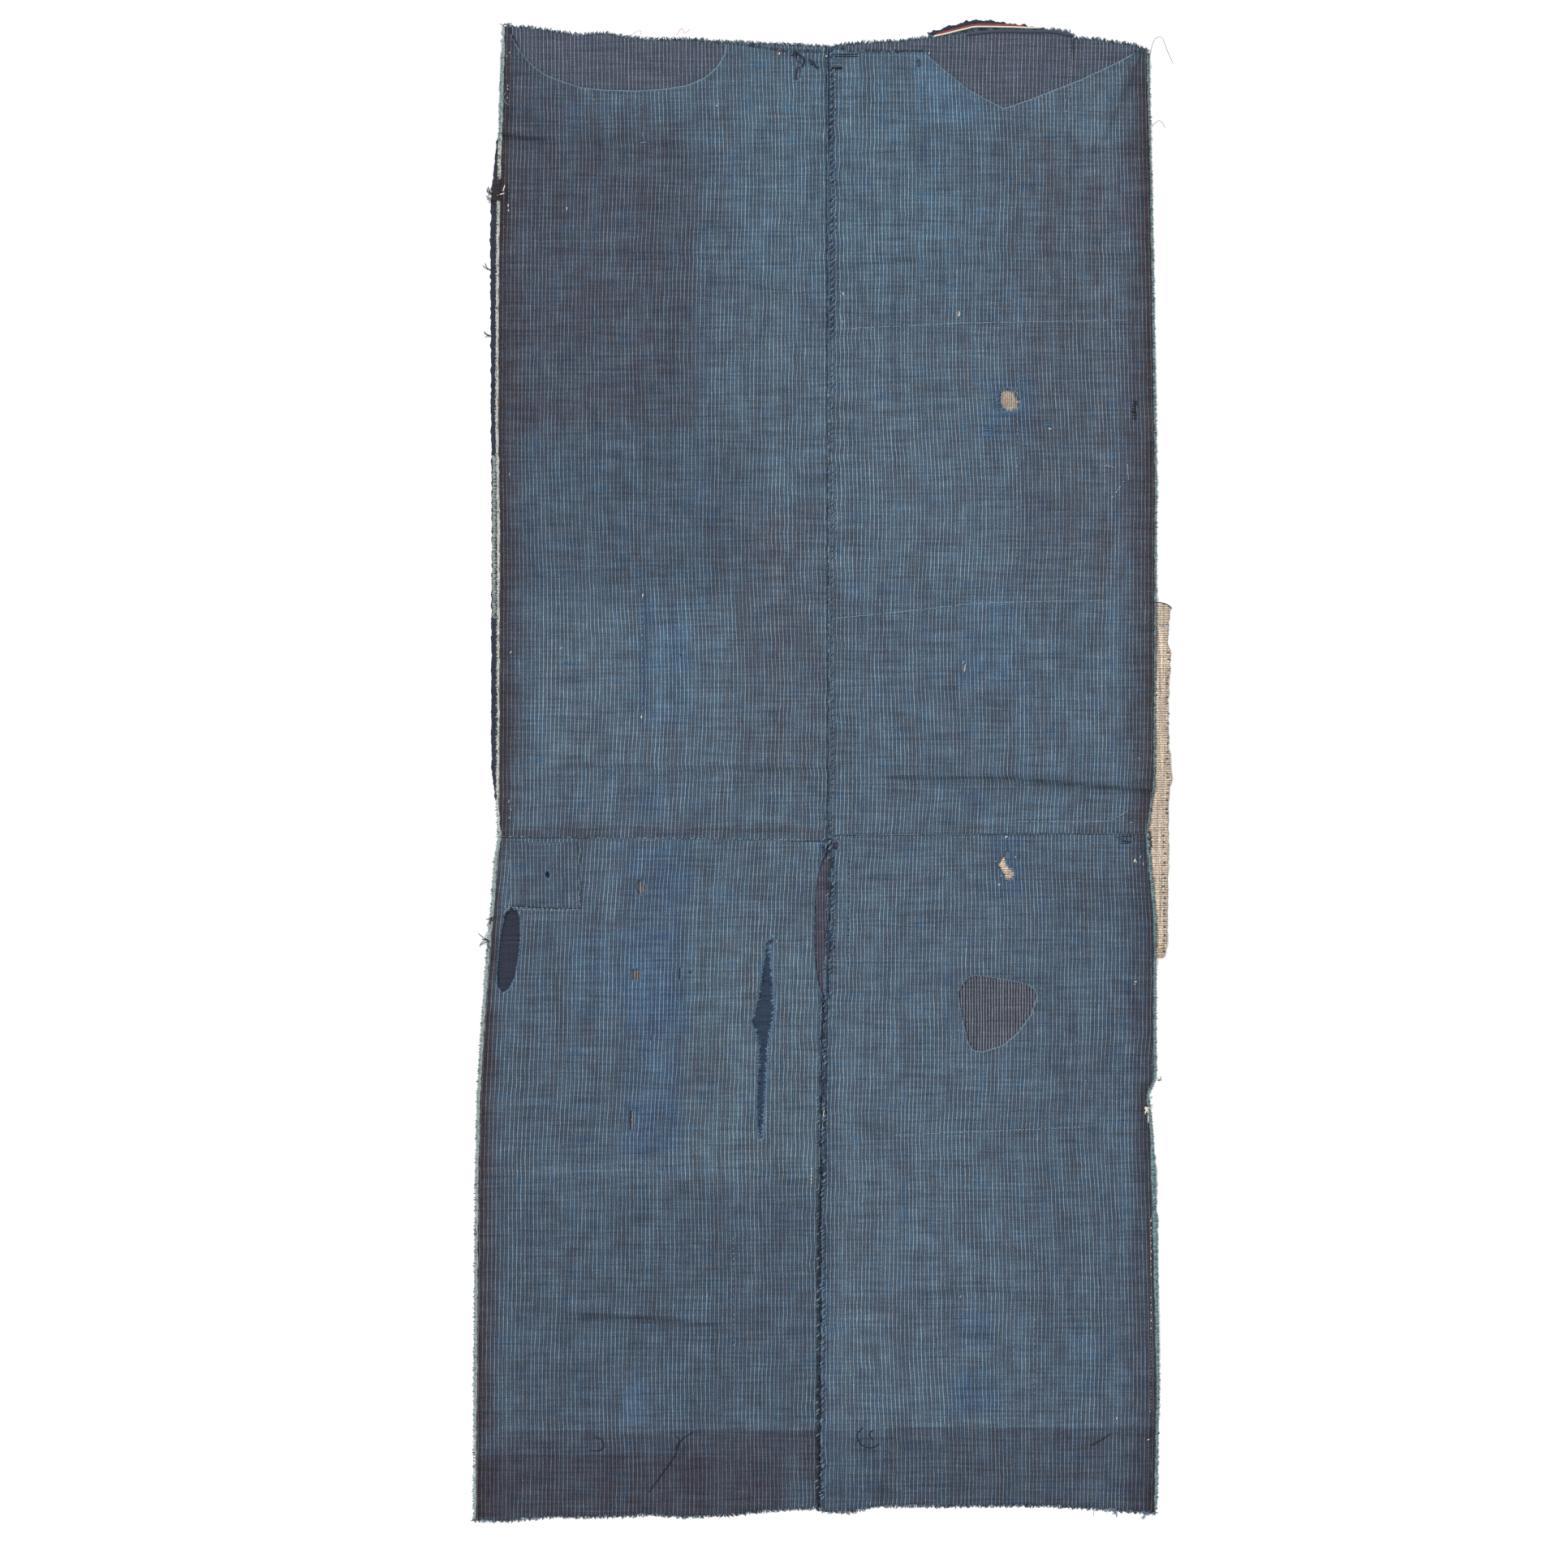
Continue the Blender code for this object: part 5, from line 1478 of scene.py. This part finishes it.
def tuft(work, surface, rng, row):
    """Threads that spread out of one place, each with its own bend."""
    x, y, reach, direction, threads, colour = row
    for _ in range(threads):
        heading = math.radians(direction + rng.uniform(-32.0, 32.0))
        length = reach * rng.uniform(0.45, 1.0)
        root = (x + rng.uniform(-1.0, 1.0), y + rng.uniform(-1.5, 1.5))
        turn = rng.uniform(-1.3, 1.3)
        points = []
        for step in range(7):
            share = step / 6
            angle = heading + turn * share
            px = root[0] + math.cos(angle) * length * share
            py = root[1] + math.sin(angle) * length * share
            points.append(surface.place(px, py, 0.25 + 0.9 * math.sin(math.pi * share)))
        work.lay(points, rng.uniform(0.26, 0.42), varied(colour, rng, 0.4))


def along_line(points, pitch):
    """Places a pitch apart along a line, each with the line's direction."""
    carried = 0.0
    for (x_one, y_one), (x_two, y_two) in zip(points, points[1:]):
        length = math.dist((x_one, y_one), (x_two, y_two))
        along = ((x_two - x_one) / length, (y_two - y_one) / length)
        place = carried
        while place < length:
            yield (x_one + along[0] * place, y_one + along[1] * place), along
            place += pitch
        carried = place - length


def settings_of(context):
    return context.scene.boro_cloth


class BoroClothSettings(bpy.types.PropertyGroup):
    """Sizes and colours of the cloth that a user may change."""

    net_spacing: bpy.props.FloatProperty(
        name="Net spacing", description="Distance between the points of a sheet",
        default=0.0036, min=0.002, unit="LENGTH", precision=4)
    wrinkle_height: bpy.props.FloatProperty(
        name="Wrinkle height", description="How far the cloth's soft wrinkles rise",
        default=0.0011, min=0.0, unit="LENGTH", precision=4)
    stripe_pitch: bpy.props.FloatProperty(
        name="Stripe pitch", description="Distance between the pale lines of the main cloth",
        default=0.0038, min=0.001, unit="LENGTH", precision=4)
    thread_radius: bpy.props.FloatProperty(
        name="Thread radius", description="Radius of the sewing thread",
        default=0.0004, min=0.0001, unit="LENGTH", precision=5)
    fray_length: bpy.props.FloatProperty(
        name="Fray length", description="Longest thread that stands out of a worn rim",
        default=0.005, min=0.0, unit="LENGTH", precision=4)
    faded_dye: bpy.props.FloatVectorProperty(
        name="Faded dye", description="Mean colour of the faded lengths",
        subtype="COLOR", default=(0.070, 0.101, 0.140), min=0.0, max=1.0)
    dark_dye: bpy.props.FloatVectorProperty(
        name="Unfaded dye", description="Mean colour of the cloth behind the cut-outs",
        subtype="COLOR", default=(0.062, 0.077, 0.110), min=0.0, max=1.0)
    navy_dye: bpy.props.FloatVectorProperty(
        name="Navy dye", description="Colour of the plain navy pieces",
        subtype="COLOR", default=(0.028, 0.032, 0.050), min=0.0, max=1.0)
    blue_dye: bpy.props.FloatVectorProperty(
        name="Blue dye", description="Colour of the plain piece behind the tear",
        subtype="COLOR", default=(0.024, 0.040, 0.068), min=0.0, max=1.0)
    grey_dye: bpy.props.FloatVectorProperty(
        name="Coarse stripe dye", description="Mean colour of the coarse striped pieces",
        subtype="COLOR", default=(0.090, 0.098, 0.125), min=0.0, max=1.0)
    brown_dye: bpy.props.FloatVectorProperty(
        name="Brown dye", description="Mean colour of the brown piece",
        subtype="COLOR", default=(0.098, 0.090, 0.092), min=0.0, max=1.0)
    tan_dye: bpy.props.FloatVectorProperty(
        name="Tan dye", description="Mean colour of the tan pieces",
        subtype="COLOR", default=(0.47, 0.39, 0.31), min=0.0, max=1.0)
    floor_colour: bpy.props.FloatVectorProperty(
        name="Floor", description="Colour of the floor",
        subtype="COLOR", default=(0.94, 0.94, 0.94), min=0.0, max=1.0)
    sky_strength: bpy.props.FloatProperty(
        name="Sky strength", description="Strength of the even light", default=0.80, min=0.0)
    sun_strength: bpy.props.FloatProperty(
        name="Lamp strength", description="Strength of the slanting light", default=2.2, min=0.0)


# What each finish makes of its dye. Columns: the ground's gain, the line's gain.
FADED_GAINS = ((0.555, 0.583, 0.635), (2.68, 2.43, 2.20))
DARK_GAINS = ((0.58, 0.585, 0.61), (2.75, 2.55, 2.3))
PLAIN_GAINS = ((0.97, 0.97, 0.97), (1.08, 1.08, 1.08))
COARSE_GAINS = ((0.25, 0.29, 0.33), (1.85, 1.82, 1.78))
SEAM_GAINS = ((0.40, 0.37, 0.44), (1.25, 1.08, 1.15))
BROWN_GAINS = ((0.62, 0.60, 0.64), (2.9, 3.1, 3.1))
TAN_GAINS = ((1.23, 1.22, 1.22), (0.38, 0.36, 0.35))
TAN_LINE_GAINS = ((0.84, 0.84, 0.88), (0.10, 0.09, 0.10))


class BORO_OT_lengths(bpy.types.Operator):
    """Lay the four lengths of faded striped cotton"""

    bl_idname = "boro.lengths"
    bl_label = "Lengths"

    def execute(self, context):
        settings = settings_of(context)
        groups = {"stripes": stripe_group(), "weave": weave_group()}
        pitch = settings.stripe_pitch / MM
        faded = cotton("Faded striped cotton", groups, (pitch, 1.0, 0.3), FADED_GAINS, worn=True)
        for number, name in enumerate(PANELS):
            sheet = Sheet(name, settings.net_spacing / MM, number + 1.0)
            sheet.make(faded, "faded_indigo", settings, settings.faded_dye, zoned=True)
        corner = Sheet("patch_corner", CORNER_SPACING, CORNER_SEED)
        corner.make(faded, "faded_indigo", settings, CORNER_DYE, angle=0.6)
        return {"FINISHED"}


class BORO_OT_patches(bpy.types.Operator):
    """Lay the patches behind the lengths"""

    bl_idname = "boro.patches"
    bl_label = "Patches"

    def execute(self, context):
        settings = settings_of(context)
        groups = {
            "stripes": bpy.data.node_groups["Warp stripes"],
            "weave": bpy.data.node_groups["Plain weave"],
        }
        pitch = settings.stripe_pitch / MM
        dark = cotton("Unfaded striped cotton", groups, (pitch, 1.05, 0.3), DARK_GAINS)
        plain = cotton("Plain cotton", groups, (1.6, 0.6, 0.2), PLAIN_GAINS)
        coarse = cotton("Coarse striped cotton", groups, (2.76, 1.4, 0.0), COARSE_GAINS)
        seam = cotton("Seam striped cotton", groups, (2.64, 1.2, 0.0), SEAM_GAINS)
        brown = cotton("Brown striped cotton", groups, (2.7, 0.9, 0.0), BROWN_GAINS)
        tan = cotton("Tan striped cotton", groups, (2.2, 0.9, 0.0), TAN_GAINS, relief=0.8, rough=1.9)
        tan_line = cotton("Tan lined cotton", groups, (2.1, 0.7, 0.0), TAN_LINE_GAINS, rough=1.2)
        # Columns: node, finish, material slot, dye, angle, whether its stripes run across.
        rows = (
            ("patch_top_left", dark, "dark_indigo", settings.dark_dye, 0.3, False),
            ("patch_top_right", dark, "dark_indigo", settings.dark_dye, -1.2, False),
            ("patch_top_edge", plain, "plain_navy", settings.navy_dye, 0.0, False),
            ("patch_left_edge", plain, "plain_navy", settings.navy_dye, 0.0, False),
            ("patch_left_navy", plain, "plain_navy", settings.navy_dye, 0.0, False),
            ("patch_tear", plain, "plain_blue", settings.blue_dye, 0.0, False),
            ("patch_seam", seam, "grey_stripe", settings.grey_dye, 0.5, False),
            ("patch_brown", brown, "brown_stripe", settings.brown_dye, 0.0, False),
            ("patch_round", coarse, "grey_stripe", settings.grey_dye, 0.0, False),
            ("patch_tan_edge", tan, "tan_stripe", settings.tan_dye, 0.0, True),
            ("patch_tan_hole", tan_line, "tan_stripe", settings.tan_dye, 0.0, False),
        )
        for number, (name, finish, slot, dye, angle, turned) in enumerate(rows):
            sheet = Sheet(name, PATCH_SPACING, number + PATCH_SEED)
            sheet.make(finish, slot, settings, dye, angle=angle, turned=turned)
        return {"FINISHED"}


class BORO_OT_seams(bpy.types.Operator):
    """Sew the lengths together"""

    bl_idname = "boro.seams"
    bl_label = "Seams"

    def execute(self, context):
        radius = settings_of(context).thread_radius / MM
        surface = Surface()
        rng = random.Random(4)
        work = ThreadWork()
        seam = [(x, y) for y, x in MIDDLE_SEAM]
        for line in (seam, CROSS_SEAM[:3], CROSS_SEAM[3:]):
            filling = [(x, y, FILLING_HEIGHT) for (x, y), _ in along_line(line, FILLING_STEP)]
            work.lay(filling, FILLING_RADIUS, GATHER_COLOUR)
        for (x, y), _ in along_line(seam, MIDDLE_STEP):
            y += rng.uniform(-1.6, 1.6)
            strength = 1.0
            if y > CROSS_SEAM[0][1]:
                strength = 1.0 if y > STRONG_ABOVE else THIN_SHARE
                x += 1.0 + rng.uniform(-0.7, 0.7)
                rows = UPPER_STITCHES
            else:
                x += (3.6 if SLIT_FROM < y < SLIT_TO else -1.0) + rng.uniform(-1.2, 1.2)
                rows = FOOT_STITCHES if y < BLACK_BELOW else LOWER_STITCHES
            for start, end, size, colour, chance, thins in rows:
                if rng.random() > chance * (strength if thins else 1.0):
                    continue
                ends = ((x + start[0], y + start[1]), (x + end[0], y + end[1]))
                size *= radius * strength * rng.uniform(0.8, 1.15)
                stitch(work, surface, *ends, size, varied(colour, rng, 0.35))
        for (x, y), _ in along_line(CROSS_SEAM[:3], LOOP_STEP):
            x += rng.uniform(-0.6, 0.6)
            points = [surface.place(x + aside, y + up, 0.1) for aside, up in SEAM_LOOP]
            colour = GATHER_COLOUR if rng.random() < 0.5 else RIM_THREAD
            work.lay(points, radius * 0.8, varied(colour, rng, 0.4))
        for (x, y), _ in along_line(CROSS_SEAM[3:], CROSS_STEP):
            pale = varied(RIM_THREAD, rng, 0.5)
            stitch(work, surface, (x - 0.8, y + 0.5), (x + 0.6, y - 0.2), radius * 0.8, pale)
            # The navy stitch just below each pale one is dark thread that also paints the shadow under
            # the loop.
            dark = varied(NAVY_THREAD, rng)
            stitch(work, surface, (x - 0.2, y - 0.4), (x + 0.9, y - 0.9), radius * 0.7, dark)
        work.make("seam_stitches", thread_material(), "plain_navy")
        return {"FINISHED"}


class BORO_OT_backing_stitches(bpy.types.Operator):
    """Sew the backing on with lines of small stitches"""

    bl_idname = "boro.backing_stitches"
    bl_label = "Backing stitches"

    def execute(self, context):
        radius = settings_of(context).thread_radius / MM
        surface = Surface()
        rng = random.Random(8)
        work = ThreadWork()
        for pitch, length, colour, points in STITCH_LINES:
            for (x, y), (along_x, along_y) in along_line(points, pitch):
                if rng.random() < 0.12:
                    continue
                x += rng.uniform(-0.3, 0.3)
                y += rng.uniform(-0.3, 0.3)
                end = (x + along_x * length, y + along_y * length)
                stitch(work, surface, (x, y), end, radius * 1.05, varied(colour, rng), 0.35)
        for x, y, length, lean, size, colour in FLECKS:
            half_x = 0.5 * length * math.cos(math.radians(lean))
            half_y = 0.5 * length * math.sin(math.radians(lean))
            stitch(work, surface, (x - half_x, y - half_y), (x + half_x, y + half_y), size, colour, 0.4)
        for name in PANELS:
            for loop in outlines_of(upper_face(frame["nodes"][name])):
                self.sew_rim(work, surface, rng, loop, radius)
        work.make("backing_stitches", bpy.data.materials["Sewing thread"], "faded_indigo")
        return {"FINISHED"}

    def sew_rim(self, work, surface, rng, loop, radius):
        """Small stitches beside the rims that are sewn down."""
        for x_low, x_high, y_low, y_high, pitch, length, inward in SEWN_RIMS:
            closed = loop + loop[:1]
            for (x, y), (along_x, along_y) in along_line(closed, pitch):
                if not (x_low < x < x_high and y_low < y < y_high):
                    continue
                x -= along_y * inward + rng.uniform(-0.2, 0.2)
                y += along_x * inward + rng.uniform(-0.2, 0.2)
                end = (x + along_x * length, y + along_y * length)
                stitch(work, surface, (x, y), end, radius * 0.7, varied(RIM_THREAD, rng, 0.35), 0.3)


class BORO_OT_mends(bpy.types.Operator):
    """Mend the small worn places, and sew the rolled edge and its cords"""

    bl_idname = "boro.mends"
    bl_label = "Mends"

    def execute(self, context):
        surface = Surface()
        rng = random.Random(23)
        work = ThreadWork()
        for x_low, x_high, y_low, y_high, space, size, colour in MENDS:
            rows = int((y_high - y_low) / space)
            for row in range(rows + 1):
                y = y_low + space * (row + rng.uniform(-0.3, 0.3))
                ragged = rng.uniform(-0.9, 0.9)
                start = (x_low + ragged, y)
                end = (x_high + ragged, y + rng.uniform(-0.5, 0.5))
                stitch(work, surface, start, end, size, varied(colour, rng, 0.35), 0.6)
        for points, size, colour in ((CREAM_CORD, 0.95, CREAM_THREAD), (RED_CORD, 0.55, RED_THREAD)):
            line = [surface.place(place.x, place.y, size * 0.5) for place in curve_through(points)]
            work.lay(line, size, colour)
        work.make("mends", bpy.data.materials["Sewing thread"], "plain_navy")
        roll = ThreadWork()
        line = [surface.place(place.x, place.y, 0.4) for place in curve_through(ROLLED_EDGE, 12)]
        roll.lay(line, 1.9, ROLL_COLOUR)
        roll.make("rolled_edge", bpy.data.materials["Sewing thread"], "dark_indigo")
        return {"FINISHED"}


class BORO_OT_frays(bpy.types.Operator):
    """Fray the worn rims and the raw edges"""

    bl_idname = "boro.frays"
    bl_label = "Frays"

    def execute(self, context):
        longest = settings_of(context).fray_length / MM
        surface = Surface()
        rng = random.Random(15)
        work = ThreadWork()
        for name in (*PANELS, "patch_top_left", "patch_top_right", "patch_left_edge"):
            for loop in outlines_of(upper_face(frame["nodes"][name])):
                self.fray_outline(work, surface, rng, loop, longest)
        self.loop_selvedges(work, surface, rng)
        for row in TUFTS:
            tuft(work, surface, rng, row)
        for size, colour, points in LOOSE_THREADS:
            line = curve_through(points)
            last = len(line) - 1
            lifted = []
            for index, place in enumerate(line):
                lift = size * 0.6 + 0.5 * math.sin(math.pi * index / last)
                lifted.append(surface.place(place.x, place.y, lift))
            work.lay(lifted, size, colour)
        work.make("rim_frays", bpy.data.materials["Sewing thread"], "faded_indigo")
        return {"FINISHED"}

    def loop_selvedges(self, work, surface, rng):
        """The weft's loops, which stand out a little along both selvedges."""
        for edge, out, column in ((LEFT_EDGE, -1.0, 2), (RIGHT_EDGE, 1.0, 3)):
            for row in LOOPS:
                y = row[0]
                while y < row[1]:
                    y += rng.uniform(0.7, 1.6)
                    x = across(edge, y)
                    is_dark = rng.random() < 0.35
                    reach = (0.9 if is_dark else 0.2) + 1.5 * rng.random() ** 2
                    colour = varied(TEAL_THREAD if is_dark else row[column], rng, 0.5)
                    points = [
                        surface.place(x - out * rng.uniform(0.6, 2.4), y, 0.1),
                        surface.place(x + out * 0.2, y + 0.3, 0.2),
                        surface.place(x + out * reach, y + rng.uniform(-0.6, 1.4), 0.2),
                    ]
                    work.lay(points, rng.uniform(0.28, 0.52), colour)

    def fray_outline(self, work, surface, rng, loop, longest):
        """Short ends of thread along the raw edges and the worn rims of one outline."""
        dark_colours = (NAVY_THREAD, DEEP_THREAD, TEAL_THREAD, BLUE_THREAD)
        rim_colours = (DEEP_THREAD, FRAY_BLUE, FRAY_BLUE, RIM_THREAD)
        outline = Outline(loop, lambda x, y: 1.0, False)
        for (x, y), (out_x, out_y) in zip(outline.points, outline.normals()):
            rim = rim_at(x, y)
            raw = y > RAW_HEAD and out_y > 0.5 or y < RAW_FOOT and out_y < -0.5
            often = rim[6] / 10.0 if rim else 0.95 if raw else 0.0
            if rng.random() > often:
                continue
            reach = rng.uniform(0.3, 1.0) * (longest * min(rim[5], 0.5) if rim else 3.4)
            swing = rng.uniform(-1.2, 1.2)
            top = surface.height(x - out_x * 1.2, y - out_y * 1.2)
            points = []
            for step in range(4):
                share = step / 3
                ahead = -1.2 + (reach + 1.2) * share
                aside = swing * reach * share * share
                px = x + out_x * ahead - out_y * aside
                py = y + out_y * ahead + out_x * aside
                ground = surface.height(px, py)
                points.append((px, py, max(top * (1.0 - share) + 0.1, ground + 0.1)))
            colour = varied(rng.choice(rim_colours if rim else dark_colours), rng, 0.5)
            work.lay(points, rng.uniform(0.18, 0.34) if rim else rng.uniform(0.26, 0.48), colour)


# The stage, in metres, and its angles in degrees
FLOOR_HALF = 4.0
FLOOR_HEIGHT = -0.0001
LAMP_SPREAD = 14.0
LAMP_LEAN = (-20.0, -48.0, 0.0)
# The camera looks straight down over this place, and sees a square of this width
CAMERA_OVER = (-0.038, -0.014)
FIELD = 1.5456
# The camera's lens and sensor, in millimetres
LENS = 100.0
SENSOR_WIDTH = 36.0


class BORO_OT_stage(bpy.types.Operator):
    """Set the floor, the light and the camera"""

    bl_idname = "boro.stage"
    bl_label = "Stage"

    def execute(self, context):
        settings = settings_of(context)
        mesh = bpy.data.meshes.new("studio_floor")
        signs = ((-1, -1), (1, -1), (1, 1), (-1, 1))
        corners = [(FLOOR_HALF * right, FLOOR_HALF * up, FLOOR_HEIGHT) for right, up in signs]
        mesh.from_pydata(corners, [], [(0, 1, 2, 3)])
        floor = bpy.data.objects.new("studio_floor", mesh)
        context.scene.collection.objects.link(floor)
        material = bpy.data.materials.new("Studio floor")
        material.use_nodes = True
        shader = material.node_tree.nodes["Principled BSDF"]
        shader.inputs["Base Color"].default_value = (*settings.floor_colour, 1.0)
        shader.inputs["Roughness"].default_value = 1.0
        shader.inputs["Specular IOR Level"].default_value = 0.0
        mesh.materials.append(material)
        world = bpy.data.worlds.new("Studio")
        world.use_nodes = True
        background = world.node_tree.nodes["Background"]
        background.inputs["Color"].default_value = (1.0, 1.0, 1.0, 1.0)
        background.inputs["Strength"].default_value = settings.sky_strength
        context.scene.world = world
        lamp = bpy.data.lights.new("Soft lamp", "SUN")
        lamp.energy = settings.sun_strength
        lamp.angle = math.radians(LAMP_SPREAD)
        lamp_object = bpy.data.objects.new("Soft lamp", lamp)
        lamp_object.rotation_euler = tuple(math.radians(turn) for turn in LAMP_LEAN)
        context.scene.collection.objects.link(lamp_object)
        context.scene.view_settings.view_transform = "Standard"
        camera = bpy.data.cameras.new("Camera")
        camera.sensor_width = SENSOR_WIDTH
        camera.lens = LENS
        camera_object = bpy.data.objects.new("Camera", camera)
        camera_object.location = (*CAMERA_OVER, FIELD * camera.lens / camera.sensor_width)
        context.scene.collection.objects.link(camera_object)
        context.scene.camera = camera_object
        return {"FINISHED"}


class BORO_PT_cloth(bpy.types.Panel):
    """Sizes, colours and pieces of the boro cloth"""

    bl_idname = "BORO_PT_cloth"
    bl_label = "Boro cloth"
    bl_space_type = "VIEW_3D"
    bl_region_type = "UI"
    bl_category = "Boro cloth"

    def draw(self, context):
        settings = settings_of(context)
        for name in BoroClothSettings.__annotations__:
            self.layout.prop(settings, name)
        for operator in OPERATORS:
            self.layout.operator(operator.bl_idname)


OPERATORS = (
    BORO_OT_lengths,
    BORO_OT_patches,
    BORO_OT_seams,
    BORO_OT_backing_stitches,
    BORO_OT_mends,
    BORO_OT_frays,
    BORO_OT_stage,
)
CLASSES = (BoroClothSettings, *OPERATORS, BORO_PT_cloth)


def register():
    for made in CLASSES:
        bpy.utils.register_class(made)
    bpy.types.Scene.boro_cloth = bpy.props.PointerProperty(type=BoroClothSettings)


def unregister():
    del bpy.types.Scene.boro_cloth
    for made in reversed(CLASSES):
        bpy.utils.unregister_class(made)


def main():
    register()
    bpy.ops.boro.lengths()
    bpy.ops.boro.patches()
    bpy.ops.boro.seams()
    bpy.ops.boro.backing_stitches()
    bpy.ops.boro.mends()
    bpy.ops.boro.frays()
    bpy.ops.boro.stage()


if __name__ == "__main__":
    main()
